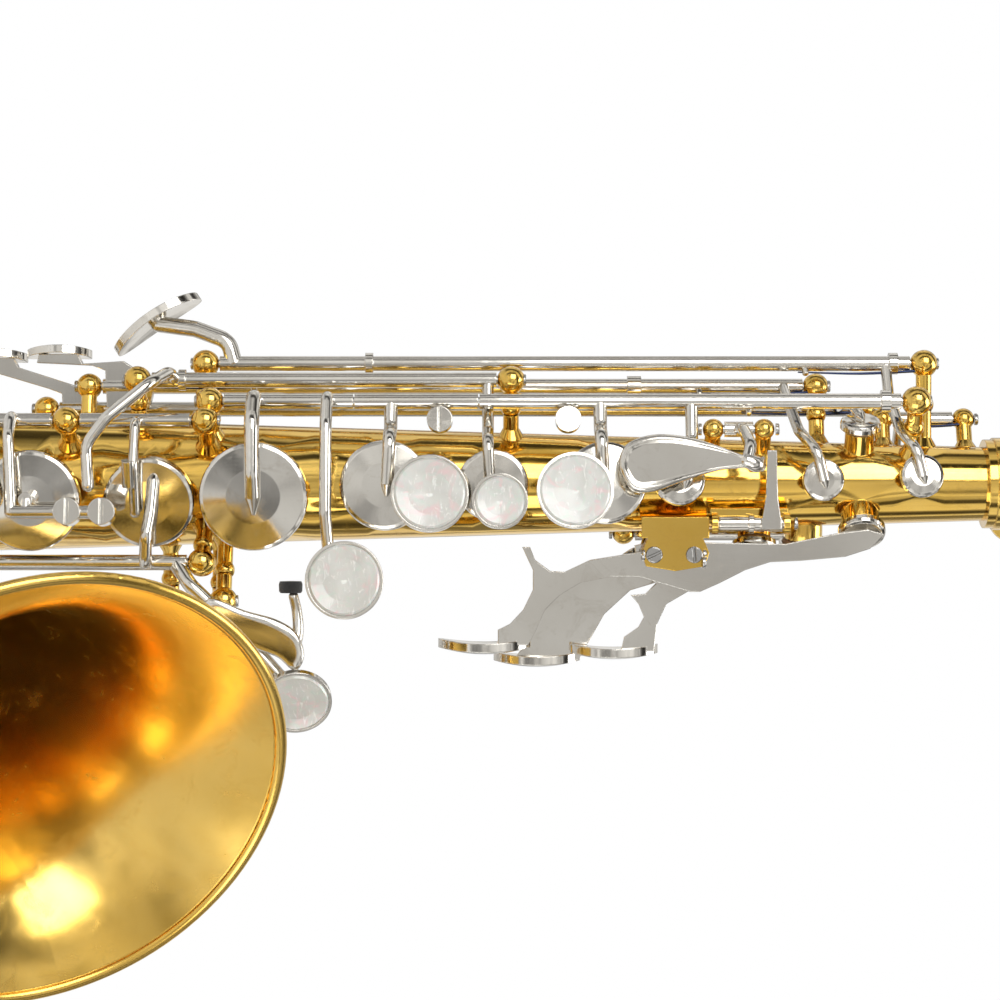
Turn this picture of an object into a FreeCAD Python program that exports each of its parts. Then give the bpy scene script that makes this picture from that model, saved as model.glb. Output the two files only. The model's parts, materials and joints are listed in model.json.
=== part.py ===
"""A curved soprano saxophone in B flat, as separate pieces on one body.

Working frame, in millimetres: the body tube lies on the Z axis and points up to the neck, -Y is the
front that the finger pearls face, +X is the player's left, and Z = 0 is level with the bis pearl.
Each piece is moved by ROW_SHIFT as it is written, which puts the strap ring's centre at the origin.
Directions round the tube are angles in degrees from the front, positive towards the player's left.
Keys are drawn with their pads closed; those that stand open are then turned back by their opening.
"""

import FreeCAD
import Part
import math
import os

# ---- driving dimensions -------------------------------------------------------------------------
WALL = 0.8                      # sheet brass
RADIUS_AT_ZERO = 11.8           # outside of the cone at Z = 0
TAPER = 0.0302                  # radius lost per millimetre of height
BODY_TOP = 113.0
BODY_BOTTOM = -197.0
BOW_RADIUS = 38.0               # centreline of the U bend
BOW_HEADING = 33.0              # the bell stands this far round from the front
BELL_STRAIGHT = 49.5            # straight run above the bow
BELL_BEND = 66.8                # degrees by which the bell leans away
BELL_BEND_RADIUS = 62.0
BELL_RIM_RADIUS = 50.5
FLARE_LENGTH = 95.0             # how far below the rim the flare starts
FLARE_BODY = 10.0               # radius gained by the long gentle part of the flare
RIM_BEAD = 1.3
ROD_RADIUS = 1.0
HINGE_BORE = 1.04               # running fit on the rod
HINGE_TUBE = 1.75
PAD_GAP = 0.1                   # between a closed pad and its tone hole
PAD_PROUD = 0.8                 # pad that shows below its cup
CUP_HEIGHT = 3.0
CUP_WALL = 0.7
SMALL_CUP = 7.0                 # cups under this radius are thinner
PEARL_RIM = 0.7
CHIMNEY_WALL = 0.8
STRAP_RING_HEIGHT = -45.0
STRAP_RING_OUT = 8.5            # ring centre beyond the tube's wall

RING_Y = RADIUS_AT_ZERO - TAPER * STRAP_RING_HEIGHT + STRAP_RING_OUT
ROW_SHIFT = FreeCAD.Vector(0.0, -RING_Y, -STRAP_RING_HEIGHT)
UP = FreeCAD.Vector(0.0, 0.0, 1.0)

# ---- hinge lines parallel to the body: x, y -----------------------------------------------------
STACK = (-18.5, -14.0)          # G, A and B
BIS_LINE = (-23.5, -8.5)
SIDE_E_LINE = (-27.6, -0.5)
SIDE_C_LINE = (-22.6, 4.5)
SIDE_BB_LINE = (-17.5, 11.5)
VENT_LINE = (-15.0, 6.0)
FRONT_F_LINE = (-12.2, -13.6)
LOWER_STACK = (-14.0, -17.5)
GSHARP_LINE = (17.7, -17.0)
CSHARP_LINE = (26.5, -11.0)
LOW_B_LINE = (31.5, -4.0)
LOW_BB_LINE = (30.0, 5.5)
ROCKER_LINE = (9.0, -13.5)
THUMB_LINE = (11.5, 14.5)
PINKY_LINE = (-27.0, -9.0)      # low E flat and low C

# ---- tone holes on the body: height, direction, cup radius, chimney height ----------------------
TONE_HOLES = {
    "side_e": (95.0, -7.0, 4.9, 3.2),
    "side_c": (72.7, -3.0, 4.7, 3.2),
    "side_bb": (82.0, -64.0, 4.6, 4.0),
    "palm_f": (82.0, 50.0, 5.4, 3.2),
    "palm_eb": (58.0, 72.0, 5.0, 3.0),
    "palm_d": (70.0, 104.0, 5.6, 3.0),
    "c_vent": (40.2, -1.0, 5.7, 3.2),
    "b": (23.5, 1.0, 9.2, 3.4),
    "bis": (-1.6, 5.0, 8.0, 3.4),
    "a": (-25.7, 3.5, 10.0, 3.4),
    "g": (-54.8, 11.0, 12.1, 3.2),
    "gsharp": (-78.3, 12.0, 10.2, 3.4),
    "fsharp": (-104.3, 12.0, 11.2, 3.4),
    "f": (-130.0, 12.0, 11.4, 3.4),
    "e": (-156.0, 12.0, 11.8, 3.4),
    "d": (-183.0, 12.0, 11.8, 3.4),
    "low_eb": (-176.0, -112.0, 10.0, 3.4),
    "octave_vent": (99.0, -140.0, 2.6, 3.0),
}


def vec(x, y, z=0.0):
    return FreeCAD.Vector(x, y, z)


def outward(degrees):
    """Unit vector from the tube's axis, the given angle round from the front."""
    a = math.radians(degrees)
    return vec(math.sin(a), -math.cos(a))


def tube_radius(z):
    return RADIUS_AT_ZERO - TAPER * z


HEADING = outward(BOW_HEADING)              # from the body towards the bell
ACROSS = outward(BOW_HEADING + 90.0)        # the bell's left side


# ---- small shapes -------------------------------------------------------------------------------
def cylinder(start, direction, radius, length):
    return Part.makeCylinder(radius, length, start, direction)


def ball(centre, radius):
    return Part.makeSphere(radius, centre)


def block(x0, x1, y0, y1, z0, z1):
    return Part.makeBox(x1 - x0, y1 - y0, z1 - z0, vec(x0, y0, z0))


def fuse(shapes):
    whole = shapes[0]
    for shape in shapes[1:]:
        whole = whole.fuse(shape)
    return whole.removeSplitter()


def placed(shape, origin, z_direction, x_hint=UP):
    """The shape with its own Z along z_direction and its own X as near x_hint as it can be."""
    z = FreeCAD.Vector(z_direction).normalize()
    x = x_hint - z * x_hint.dot(z)
    if x.Length < 1e-6:
        x = vec(1.0, 0.0) - z * z.x
    x.normalize()
    y = z.cross(x)
    m = FreeCAD.Matrix(x.x, y.x, z.x, origin.x, x.y, y.y, z.y, origin.y, x.z, y.z, z.z, origin.z)
    moved = shape.copy()
    moved.Placement = FreeCAD.Placement(m).multiply(moved.Placement)
    return moved


def polygon_face(points):
    return Part.Face(Part.makePolygon(points + [points[0]]))


def revolved(profile):
    """Solid of revolution about the local Z axis from (radius, height) points."""
    face = polygon_face([vec(r, 0.0, h) for r, h in profile])
    return face.revolve(vec(0.0, 0.0), UP, 360.0)


def path_wire(points, bend):
    """Straight runs joined by tangent arcs, each as large as bend and its two runs allow."""
    edges, start = [], points[0]
    for before, corner, after in zip(points, points[1:], points[2:]):
        a, b = (before - corner), (after - corner)
        la, lb = a.Length, b.Length
        a.normalize()
        b.normalize()
        half = (math.pi - a.getAngle(b)) / 2.0
        if half < 0.01:
            continue
        setback = min(bend * math.tan(half), 0.45 * min(la, lb))
        radius = setback / math.tan(half)
        enter, leave = corner + a * setback, corner + b * setback
        middle = (a + b).normalize()
        centre = corner + middle * (radius / math.cos(half))
        edges.append(Part.LineSegment(start, enter).toShape())
        edges.append(Part.Arc(enter, centre - middle * radius, leave).toShape())
        start = leave
    edges.append(Part.LineSegment(start, points[-1]).toShape())
    return Part.Wire(edges)


def bar(points, radius, bend=4.0, tip=None):
    """Round bar along the points; tip adds a tapered end of that length."""
    path = path_wire(points, bend)
    direction = points[1] - points[0]
    ring = Part.Wire(Part.makeCircle(radius, points[0], direction))
    shapes = [path.makePipeShell([ring], True, False)]
    if tip:
        along = (points[-1] - points[-2]).normalize()
        shapes.append(Part.makeCone(radius, 0.35, tip, points[-1], along))
    else:
        shapes.append(ball(points[-1], radius))
    return fuse(shapes)


def plate(outline, y0, y1):
    """Flat lever cut to an outline of (z, x) points, between two depths."""
    face = polygon_face([vec(x, y0, z) for z, x in outline])
    return face.extrude(vec(0.0, y1 - y0))


def paddle(centre, normal, along, length, width, thickness, dish):
    """Finger touch: an oval shell, crowned by dish over its length."""
    rise = dish
    sphere_radius = (length * length / 4.0 + rise * rise) / (2.0 * rise)
    outer = ball(vec(0, 0, -sphere_radius + thickness / 2.0), sphere_radius)
    inner = ball(vec(0, 0, -sphere_radius - thickness / 2.0), sphere_radius)
    oval = Part.Face(Part.Wire(Part.Ellipse(vec(0, 0, 0), length / 2.0, width / 2.0).toShape()))
    column = oval.extrude(vec(0, 0, 4.0 * rise + 4.0 * thickness))
    column.translate(vec(0, 0, -3.0 * rise - 2.0 * thickness))
    shell = column.common(outer).cut(inner)
    return placed(shell, centre, normal, along)


# ---- cups, pads, pearls and hinges --------------------------------------------------------------
def cup_height(radius):
    return CUP_HEIGHT if radius >= SMALL_CUP else 2.0


def cup_shape(radius):
    """Key cup over a tone hole: local Z = 0 is the hole's rim."""
    low = PAD_GAP + PAD_PROUD
    high = low + cup_height(radius)
    inner = radius - CUP_WALL
    crown = 0.03 * radius
    return revolved([
        (0.0, high + crown), (0.5 * radius, high + 0.8 * crown), (radius - 0.9, high),
        (radius - 0.25, high - 0.25), (radius, high - 0.9), (radius, low), (inner, low),
        (inner, high - 0.8), (0.0, high - 0.8)])


def pad_shape(radius):
    """Leather pad with a small domed resonator, resting in its cup."""
    high = PAD_GAP + PAD_PROUD + cup_height(radius) - 0.8
    edge = radius - CUP_WALL - 0.05
    return revolved([
        (0.0, high), (edge, high), (edge, PAD_GAP + 0.5), (edge - 0.5, PAD_GAP), (0.0, PAD_GAP)])


def hole_rim(name):
    """Rim centre and direction of a body tone hole."""
    z, degrees, _radius, height = TONE_HOLES[name]
    direction = outward(degrees)
    return direction * (tube_radius(z) + height) + vec(0, 0, z), direction


def cup_for(name):
    rim, direction = hole_rim(name)
    return placed(cup_shape(TONE_HOLES[name][2]), rim, direction)


def pad_for(name):
    rim, direction = hole_rim(name)
    return placed(pad_shape(TONE_HOLES[name][2]), rim, direction)


def cup_top(name, lift=0.0):
    """Point on the outside of a key cup, at its middle."""
    rim, direction = hole_rim(name)
    radius = TONE_HOLES[name][2]
    return rim + direction * (PAD_GAP + PAD_PROUD + cup_height(radius) + 0.03 * radius + lift)


def pearl_holder(centre, radius, direction=vec(0.0, -1.0)):
    """Metal dish that holds a finger pearl; centre is the middle of its back."""
    dish = revolved([
        (0.0, 0.0), (radius - 1.2, 0.0), (radius, 1.0), (radius, 2.4), (radius - PEARL_RIM, 2.4),
        (radius - PEARL_RIM, 0.9), (0.0, 0.9)])
    return placed(dish, centre, direction)


def pearl_disc(centre, radius, direction=vec(0.0, -1.0)):
    """Mother-of-pearl button with a shallow hollow for the fingertip."""
    edge = radius - PEARL_RIM - 0.03
    button = revolved([
        (0.0, 0.9), (edge, 0.9), (edge, 2.3), (edge - 0.5, 2.75), (0.6 * edge, 2.45), (0.0, 2.3)])
    return placed(button, centre, direction)


def hinge_tube(line, z0, z1, radius=HINGE_TUBE):
    return cylinder(vec(line[0], line[1], z0), UP, radius, z1 - z0)


def bored(shape, line, z0, z1):
    """The key with its hinge bored out to run on the rod."""
    return shape.cut(cylinder(vec(line[0], line[1], z0 - 2.0), UP, HINGE_BORE, z1 - z0 + 4.0))


def at(line, z):
    return vec(line[0], line[1], z)


def needle_ring(line, z, radius=2.5, width=2.2):
    """Collar at the end of a hinge tube."""
    return hinge_tube(line, z - width / 2.0, z + width / 2.0, radius)


# ---- what moves ---------------------------------------------------------------------------------
# body: pivot point, axis whose right-hand turn plays the key, degrees of travel, stands open
LEFT_TURN = vec(0, 0, 1)
RIGHT_TURN = vec(0, 0, -1)
PALM_TURN = vec(0, 1, 0)
MOTION = {
    "g_key": (at(STACK, -48.0), LEFT_TURN, 7.0, True),
    "a_key": (at(STACK, -19.0), LEFT_TURN, 7.0, True),
    "b_key": (at(STACK, 43.0), LEFT_TURN, 7.0, True),
    "bis_key": (at(BIS_LINE, -40.0), LEFT_TURN, 6.0, True),
    "gsharp_key": (at(GSHARP_LINE, -90.0), LEFT_TURN, 8.0, False),
    "fsharp_key": (at(LOWER_STACK, -108.0), LEFT_TURN, 7.0, True),
    "f_key": (at(LOWER_STACK, -131.0), LEFT_TURN, 7.0, True),
    "e_key": (at(LOWER_STACK, -154.0), LEFT_TURN, 7.0, True),
    "d_key": (at(LOWER_STACK, -180.0), LEFT_TURN, 7.0, True),
    "trill_key": (at(LOWER_STACK, -81.0), RIGHT_TURN, 10.5, False),
    "side_e_key": (at(SIDE_E_LINE, 12.0), RIGHT_TURN, 5.0, False),
    "side_c_key": (at(SIDE_C_LINE, -8.0), RIGHT_TURN, 5.0, False),
    "side_bb_key": (at(SIDE_BB_LINE, -14.0), RIGHT_TURN, 6.0, False),
    "octave_vent_key": (at(VENT_LINE, 97.0), LEFT_TURN, 8.0, False),
    "octave_rocker": (at(ROCKER_LINE, 56.0), LEFT_TURN, 4.0, False),
    "octave_thumb_lever": (at(THUMB_LINE, 50.0), LEFT_TURN, 6.0, False),
    "front_f_lever": (at(FRONT_F_LINE, 53.5), LEFT_TURN, 4.0, False),
    "palm_f_key": (vec(16.0, -11.9, 43.6), PALM_TURN, 3.5, False),
    "palm_eb_key": (vec(16.0, -7.3, 34.6), PALM_TURN, 5.0, False),
    "palm_d_key": (vec(16.0, 2.3, 34.6), PALM_TURN, 4.0, False),
    "low_eb_key": (at(PINKY_LINE, -183.0), LEFT_TURN, 8.0, False),
    "low_c_key": (at(PINKY_LINE, -218.0), LEFT_TURN, 7.0, True),
    "low_csharp_key": (at(CSHARP_LINE, -140.0), LEFT_TURN, 5.0, False),
    "low_b_key": (at(LOW_B_LINE, -125.0), RIGHT_TURN, 4.0, True),
    "low_bb_key": (at(LOW_BB_LINE, -110.0), RIGHT_TURN, 4.0, True),
}


def at_rest(body, shape):
    """A closed key turned back to where it stands when nobody presses it."""
    pivot, axis, travel, stands_open = MOTION[body]
    if stands_open:
        shape.rotate(pivot, axis, -travel)
    return shape


# ---- the horn -----------------------------------------------------------------------------------
def body_cone(inset=0.0):
    low, high = tube_radius(BODY_BOTTOM) - inset, tube_radius(BODY_TOP) - inset
    return Part.makeCone(low, high, BODY_TOP - BODY_BOTTOM, vec(0, 0, BODY_BOTTOM))


def chimney_radius(cup_radius):
    return cup_radius - (1.5 if cup_radius >= SMALL_CUP else 1.2)


def body_tube():
    """Conical tube with a drawn chimney for each tone hole."""
    shapes = [body_cone()]
    bores = [body_cone(WALL)]
    for name, (_z, _degrees, cup_radius, _height) in TONE_HOLES.items():
        rim, direction = hole_rim(name)
        length = direction.dot(rim)
        base = rim - direction * length
        radius = chimney_radius(cup_radius)
        shapes.append(cylinder(base, direction, radius, length))
        bores.append(cylinder(base, direction, radius - CHIMNEY_WALL, length + 1.0))
    return fuse(shapes).cut(fuse(bores))


BOW_BOTTOM_RADIUS = tube_radius(BODY_BOTTOM)
BOW_TOP_RADIUS = BOW_BOTTOM_RADIUS + TAPER * math.pi * BOW_RADIUS
BELL_FOOT = HEADING * (2.0 * BOW_RADIUS) + vec(0, 0, BODY_BOTTOM)
BELL_LENGTH = BELL_STRAIGHT + math.radians(BELL_BEND) * BELL_BEND_RADIUS
FLARE_LIP = BELL_RIM_RADIUS - BOW_TOP_RADIUS - TAPER * BELL_LENGTH - FLARE_BODY
LIP_THICKENING = 1.2            # the wall, measured across the bell, more than doubles at the rim


def loft(stations, inset):
    """Solid through round sections, each a centre, a direction and a radius."""
    wires = []
    for centre, direction, radius in stations:
        circle = Part.Circle(centre, direction, radius - inset)
        circle.XAxis = ACROSS
        wires.append(Part.Wire(circle.toShape()))
    return Part.makeLoft(wires, True, False, False, 3)


def bow_station(turn):
    """Centre, direction and radius after the given degrees of the bow."""
    a = math.radians(turn)
    centre = HEADING * (BOW_RADIUS * (1 - math.cos(a)))
    centre = centre + vec(0, 0, BODY_BOTTOM - BOW_RADIUS * math.sin(a))
    direction = HEADING * math.sin(a) - UP * math.cos(a)
    return centre, direction, BOW_BOTTOM_RADIUS + TAPER * BOW_RADIUS * a


def flare_share(distance):
    return max(0.0, (distance - BELL_LENGTH) / FLARE_LENGTH + 1.0)


def bell_station(distance):
    """The same along the bell, measured from the bow."""
    t = flare_share(distance)
    radius = BOW_TOP_RADIUS + TAPER * distance + FLARE_BODY * t ** 3 + FLARE_LIP * t ** 9
    if distance <= BELL_STRAIGHT:
        return BELL_FOOT + UP * distance, UP, radius
    a = (distance - BELL_STRAIGHT) / BELL_BEND_RADIUS
    centre = BELL_FOOT + UP * (BELL_STRAIGHT + BELL_BEND_RADIUS * math.sin(a))
    centre = centre + HEADING * (BELL_BEND_RADIUS * (1 - math.cos(a)))
    return centre, HEADING * math.sin(a) + UP * math.cos(a), radius


def bow_solid(inset=0.0):
    return loft([bow_station(180.0 * i / 12) for i in range(13)], inset)


def bell_solid(inset=0.0):
    flare = [BELL_LENGTH - FLARE_LENGTH * (1 - i / 16) for i in range(17)]
    stations = []
    for distance in [0.0, 10.0] + flare:
        centre, direction, radius = bell_station(distance)
        lip = 1.0 + LIP_THICKENING * flare_share(distance) ** 9
        stations.append((centre, direction, radius - inset * lip))
    return loft(stations, 0.0)


# low tone holes: rim point, direction, cup radius
def low_hole(station, side, cup_radius, height):
    centre, _direction, radius = station
    return centre + side * (radius + height), side, cup_radius, centre


LOW_HOLES = {
    "low_c": low_hole(bow_station(50.0), ACROSS * -1.0, 13.0, 3.6),
    "low_csharp": low_hole(bow_station(134.0), ACROSS, 12.6, 3.6),
    "low_b": low_hole(bell_station(14.0), ACROSS, 14.0, 3.6),
    "low_bb": low_hole(bell_station(45.0), ACROSS, 14.0, 3.6),
}


def horn_outside():
    """Solids that fill the horn and its chimneys, to trim what is soldered on."""
    shapes = [body_cone(), bow_solid(), bell_solid()]
    for name, (_z, _degrees, cup_radius, _height) in TONE_HOLES.items():
        rim, direction = hole_rim(name)
        length = direction.dot(rim)
        shapes.append(cylinder(rim - direction * length, direction, chimney_radius(cup_radius), length))
    for rim, direction, cup_radius, centre in LOW_HOLES.values():
        shapes.append(cylinder(centre, direction, chimney_radius(cup_radius), (rim - centre).Length))
    return shapes


def with_low_chimneys(outer, inner, names):
    shapes, bores = [outer], [inner]
    for name in names:
        rim, direction, cup_radius, centre = LOW_HOLES[name]
        radius, length = chimney_radius(cup_radius), (rim - centre).Length
        shapes.append(cylinder(centre, direction, radius, length))
        bores.append(cylinder(centre, direction, radius - CHIMNEY_WALL, length + 1.0))
    return fuse(shapes).cut(fuse(bores))


def bow():
    return with_low_chimneys(bow_solid(), bow_solid(WALL), ["low_c", "low_csharp"])


def bell():
    """Flared bell with a rolled rim."""
    centre, direction, radius = bell_station(BELL_LENGTH)
    bead = Part.makeTorus(radius - 0.3, RIM_BEAD, centre, direction)
    shell = with_low_chimneys(bell_solid(), bell_solid(WALL), ["low_b", "low_bb"])
    return shell.fuse(bead)


def ring_blanks():
    rings = []
    for centre, outer in ((vec(0, 0, BODY_BOTTOM), BOW_BOTTOM_RADIUS), (BELL_FOOT, BOW_TOP_RADIUS)):
        r = outer + 1.3
        profile = revolved([(0, -6.0), (r - 0.6, -6.0), (r, -5.2), (r, 5.2), (r - 0.6, 6.0), (0, 6.0)])
        rings.append(placed(profile, centre, UP, ACROSS))
    return rings


def joint_rings():
    """Sleeves over the two joints of the bow."""
    return Part.makeCompound([ring.cut(horn_outside()) for ring in ring_blanks()])


def bell_brace():
    """Strut with a ring in its middle, from the body's left side to the bell."""
    height = -148.0
    start, knee = vec(12.5, -5.3, height), vec(21.5, -13.6, height)
    end = vec(34.0, -49.0, height)
    line = (end - knee).normalize()
    side = UP.cross(line)
    middle = knee + line * 14.0
    shapes = [bar([start, knee, end], 2.2, 5.0), Part.makeTorus(5.2, 1.9, middle, side)]
    shapes.append(placed(block(-6.5, 6.5, -3.6, 3.6, 0.0, 5.4), start, start - vec(0, 0, height), UP))
    hollow = [cylinder(middle - side * 8.0, side, 3.4, 16.0)]
    return fuse(shapes).cut(hollow + horn_outside())


# ---- neck, mouthpiece and reed ------------------------------------------------------------------
RECEIVER_TOP = 127.0
NECK_FOOT = 114.5
NECK_STRAIGHT_TOP = 136.0
NECK_BEND_RADIUS = 30.0
NECK_BEND = 75.0
NECK_END_RUN = 34.0
CORK_LENGTH = 24.0
CORK_RADIUS = 6.2
SHANK_OVER_CORK = 18.0
MOUTHPIECE_LENGTH = 68.0
TENON_RADIUS = 8.3
NECK_BEAD = 0.8


def neck_direction(turn):
    a = math.radians(turn)
    return vec(0.0, math.sin(a), math.cos(a))


def neck_bend_point(turn):
    a = math.radians(turn)
    y = NECK_BEND_RADIUS * (1 - math.cos(a))
    return vec(0.0, y, NECK_STRAIGHT_TOP + NECK_BEND_RADIUS * math.sin(a))


NECK_AXIS = neck_direction(NECK_BEND)
NECK_END = neck_bend_point(NECK_BEND) + NECK_AXIS * NECK_END_RUN
MOUTHPIECE_START = NECK_END - NECK_AXIS * SHANK_OVER_CORK


def neck_solid(inset=0.0):
    """Straight tenon, then the tapered crook down to its end."""
    stations = [(vec(0, 0, RECEIVER_TOP), UP, 8.0), (vec(0, 0, NECK_STRAIGHT_TOP), UP, 7.8)]
    for turn in (15.0, 30.0, 45.0, 60.0, NECK_BEND):
        stations.append((neck_bend_point(turn), neck_direction(turn), 7.8 - 1.7 * turn / NECK_BEND))
    for share in (0.25, 0.5, 0.75, 1.0):
        centre = neck_bend_point(NECK_BEND) + NECK_AXIS * (NECK_END_RUN * share)
        stations.append((centre, NECK_AXIS, 6.1 - 1.1 * share))
    wires = []
    for centre, direction, radius in stations:
        circle = Part.Circle(centre, direction, radius - inset)
        circle.XAxis = vec(1, 0, 0)
        wires.append(Part.Wire(circle.toShape()))
    tenon = Part.makeCylinder(TENON_RADIUS - inset, RECEIVER_TOP - NECK_FOOT, vec(0, 0, NECK_FOOT))
    return fuse([tenon, Part.makeLoft(wires, True, False, False, 3)])


def neck():
    collar = Part.makeCylinder(9.9, 3.0, vec(0, 0, RECEIVER_TOP + 0.1))
    bead = Part.makeTorus(5.1, NECK_BEAD, NECK_END, NECK_AXIS)
    return neck_solid().fuse([collar, bead]).cut(neck_solid(WALL))


def neck_cork():
    start = NECK_END - NECK_AXIS * (CORK_LENGTH + NECK_BEAD)
    sleeve = cylinder(start, NECK_AXIS, CORK_RADIUS, CORK_LENGTH)
    return sleeve.cut(neck_solid())


def neck_receiver():
    """Split socket on top of the body, with two clamp lugs at the back."""
    profile = revolved([
        (8.32, 113.0), (10.6, 113.0), (10.6, 115.5), (9.9, 116.2), (9.9, 124.0), (10.4, 124.6),
        (10.4, RECEIVER_TOP), (8.32, RECEIVER_TOP)])
    foot = revolved([(7.0, 111.0), (10.2, 111.0), (10.2, 113.0), (7.0, 113.0)]).cut(body_cone())
    lugs = block(-4.0, 4.0, 9.0, 15.5, 117.5, 123.5).cut(Part.makeCylinder(8.4, 20.0, vec(0, 0, 110)))
    whole = fuse([profile, foot, lugs])
    whole = whole.cut(block(-0.6, 0.6, 6.0, 17.0, 113.5, 130.0))
    return whole.cut(cylinder(vec(-5, 12.8, 120.5), vec(1, 0, 0), 1.25, 10.0))


def neck_screw():
    shank = cylinder(vec(-6.0, 12.8, 120.5), vec(1, 0, 0), 1.25, 11.5)
    head = cylinder(vec(4.05, 12.8, 120.5), vec(1, 0, 0), 3.2, 2.2)
    wing = placed(block(-1.1, 1.1, -5.5, 5.5, 0.0, 9.0), vec(5.6, 12.8, 120.5), vec(1, 0, 0), vec(0, 1, 0))
    return fuse([shank, head, wing.common(ball(vec(7.5, 12.8, 120.5), 6.3))])


def on_mouthpiece(shape):
    """From the mouthpiece's own frame: Z to the tip, X upwards."""
    return placed(shape, MOUTHPIECE_START, NECK_AXIS, UP)


def mouthpiece_blank():
    return revolved([
        (0, 0), (9.0, 0), (9.9, 0.9), (9.9, 4.0), (9.3, 4.8), (8.6, 36.0), (8.0, MOUTHPIECE_LENGTH),
        (0, MOUTHPIECE_LENGTH)])


REED_PLANE = -6.1


def mouthpiece():
    """Beak mouthpiece: flat table below, sloping beak above, open window under the reed."""
    tip = MOUTHPIECE_LENGTH
    beak = polygon_face([vec(9.0, -12, 35.0), vec(12, -12, 35.0), vec(12, -12, tip + 1), vec(-4.6, -12, tip + 1)])
    beak = beak.extrude(vec(0, 24, 0))
    table = block(-12.0, REED_PLANE, -12, 12, 24.0, tip + 1.0)
    facing = polygon_face([vec(REED_PLANE, -12, 46), vec(REED_PLANE, -12, tip + 1), vec(REED_PLANE + 1.1, -12, tip + 1)])
    window = block(-9.0, -3.4, -3.9, 3.9, 34.0, tip - 1.6)
    chamber = Part.makeCone(5.6, 3.0, 26.0, vec(0, 0, SHANK_OVER_CORK + 1.0))
    socket = Part.makeCylinder(CORK_RADIUS, SHANK_OVER_CORK + 1.1)
    cuts = [beak, table, facing.extrude(vec(0, 24, 0)), window, chamber, socket]
    return on_mouthpiece(mouthpiece_blank().cut(cuts))


def reed_blank():
    tip = MOUTHPIECE_LENGTH - 0.3
    side = polygon_face([
        vec(REED_PLANE, -5.9, 8.5 + 16.0), vec(REED_PLANE - 2.6, -5.9, 8.5 + 16.0),
        vec(REED_PLANE - 2.6, -5.9, 46.0), vec(REED_PLANE - 0.7, -5.9, 58.0),
        vec(REED_PLANE - 0.15, -5.9, tip), vec(REED_PLANE, -5.9, tip)])
    stock = side.extrude(vec(0, 11.8, 0))
    return stock.common(mouthpiece_blank())


def reed():
    """Cane reed: flat against the table, thinned towards the tip."""
    return on_mouthpiece(reed_blank())


def ligature():
    """Band with two thumbscrews that clamps the reed."""
    low, high = 27.0, 45.0
    shapes = [Part.makeCone(9.8, 9.4, high - low, vec(0, 0, low))]
    for z in (31.0, 41.0):
        shapes.append(cylinder(vec(-8.0, 0, z), vec(-1, 0, 0), 1.3, 5.5))
        shapes.append(cylinder(vec(-11.6, 0, z), vec(-1, 0, 0), 3.1, 2.6))
    whole = fuse(shapes).cut([mouthpiece_blank(), Part.makeCylinder(8.3, 60.0)])
    return on_mouthpiece(whole)


# ---- posts, rods and brackets -------------------------------------------------------------------
# hinge line: heights of its posts, radius of their balls
POSTS = {
    STACK: ((-65.3, 3.2), (93.7, 3.4)),
    BIS_LINE: ((-82.2, 3.2), (2.5, 3.2)),
    SIDE_E_LINE: ((-67.6, 3.2), (97.3, 3.2)),
    SIDE_C_LINE: ((-95.0, 3.0), (73.0, 3.0)),
    SIDE_BB_LINE: ((-106.0, 3.0), (84.5, 3.0)),
    VENT_LINE: ((88.5, 2.6), (107.4, 2.6)),
    FRONT_F_LINE: ((48.0, 2.4), (59.4, 2.4)),
    LOWER_STACK: ((-197.0, 3.2), (-168.5, 3.2), (-143.5, 3.2), (-119.5, 3.2), (-97.0, 3.2),
                  (-66.0, 3.2)),
    GSHARP_LINE: ((-118.3, 3.2), (-66.8, 3.2)),
    CSHARP_LINE: ((-209.0, 3.2), (-62.5, 3.2)),
    LOW_B_LINE: ((-199.0, 3.2), (-64.0, 3.2)),
    LOW_BB_LINE: ((-173.0, 3.2), (-76.0, 3.2)),
    THUMB_LINE: ((29.0, 2.6), (69.0, 2.6)),
    PINKY_LINE: ((-236.0, 3.2), (-163.0, 3.2)),
}
STEM_RADIUS = 1.8
ROD_PAST_POST = 1.6
ROCKER_LUGS = (47.6, 63.8)
LUG_THICKNESS = 1.4


def rod_span(line):
    heights = [z for z, _radius in POSTS[line]]
    return min(heights) - ROD_PAST_POST, max(heights) + ROD_PAST_POST


def rod(line):
    low, high = rod_span(line)
    return hinge_tube(line, low, high, ROD_RADIUS)


def post(line, z, ball_radius):
    """Ball-headed post: its stem points at the middle of the tube it stands on."""
    head = at(line, z)
    hub, reach = vec(0, 0, z), tube_radius(max(z, BODY_BOTTOM))
    if z < BODY_BOTTOM - 5.0:
        hub, _direction, reach = bow_station(60.0 if z < -230.0 else 18.0)
    inward = (hub - head).normalize()
    surface = (hub - head).Length - reach
    stem = cylinder(head, inward, STEM_RADIUS, surface + 2.0)
    foot = Part.makeCone(STEM_RADIUS, 3.3, 2.6, head + inward * (surface - 1.8), inward)
    shapes = [ball(head, ball_radius), stem, foot]
    if surface > 9.0:
        shapes.append(ball(head + inward * (surface * 0.5), 2.3))
    return fuse(shapes).cut(horn_outside() + ring_blanks() + [rod(line)])


def posts():
    shapes = [post(line, z, radius) for line, heads in POSTS.items() for z, radius in heads]
    return Part.makeCompound(shapes + [rocker_bracket()])


def rocker_bracket():
    """U-shaped bracket that carries the octave rocker."""
    low, high = ROCKER_LUGS
    x, y = ROCKER_LINE
    base = block(x - 3.4, x + 0.4, y + 3.4, -4.0, low, high + LUG_THICKNESS)
    shapes = [base]
    for z in ROCKER_LUGS:
        shapes.append(block(x - 2.4, x + 2.4, y, y + 4.4, z, z + LUG_THICKNESS))
        shapes.append(hinge_tube(ROCKER_LINE, z, z + LUG_THICKNESS, 2.4))
    return fuse(shapes).cut(horn_outside() + [rocker_rod()])


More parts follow.
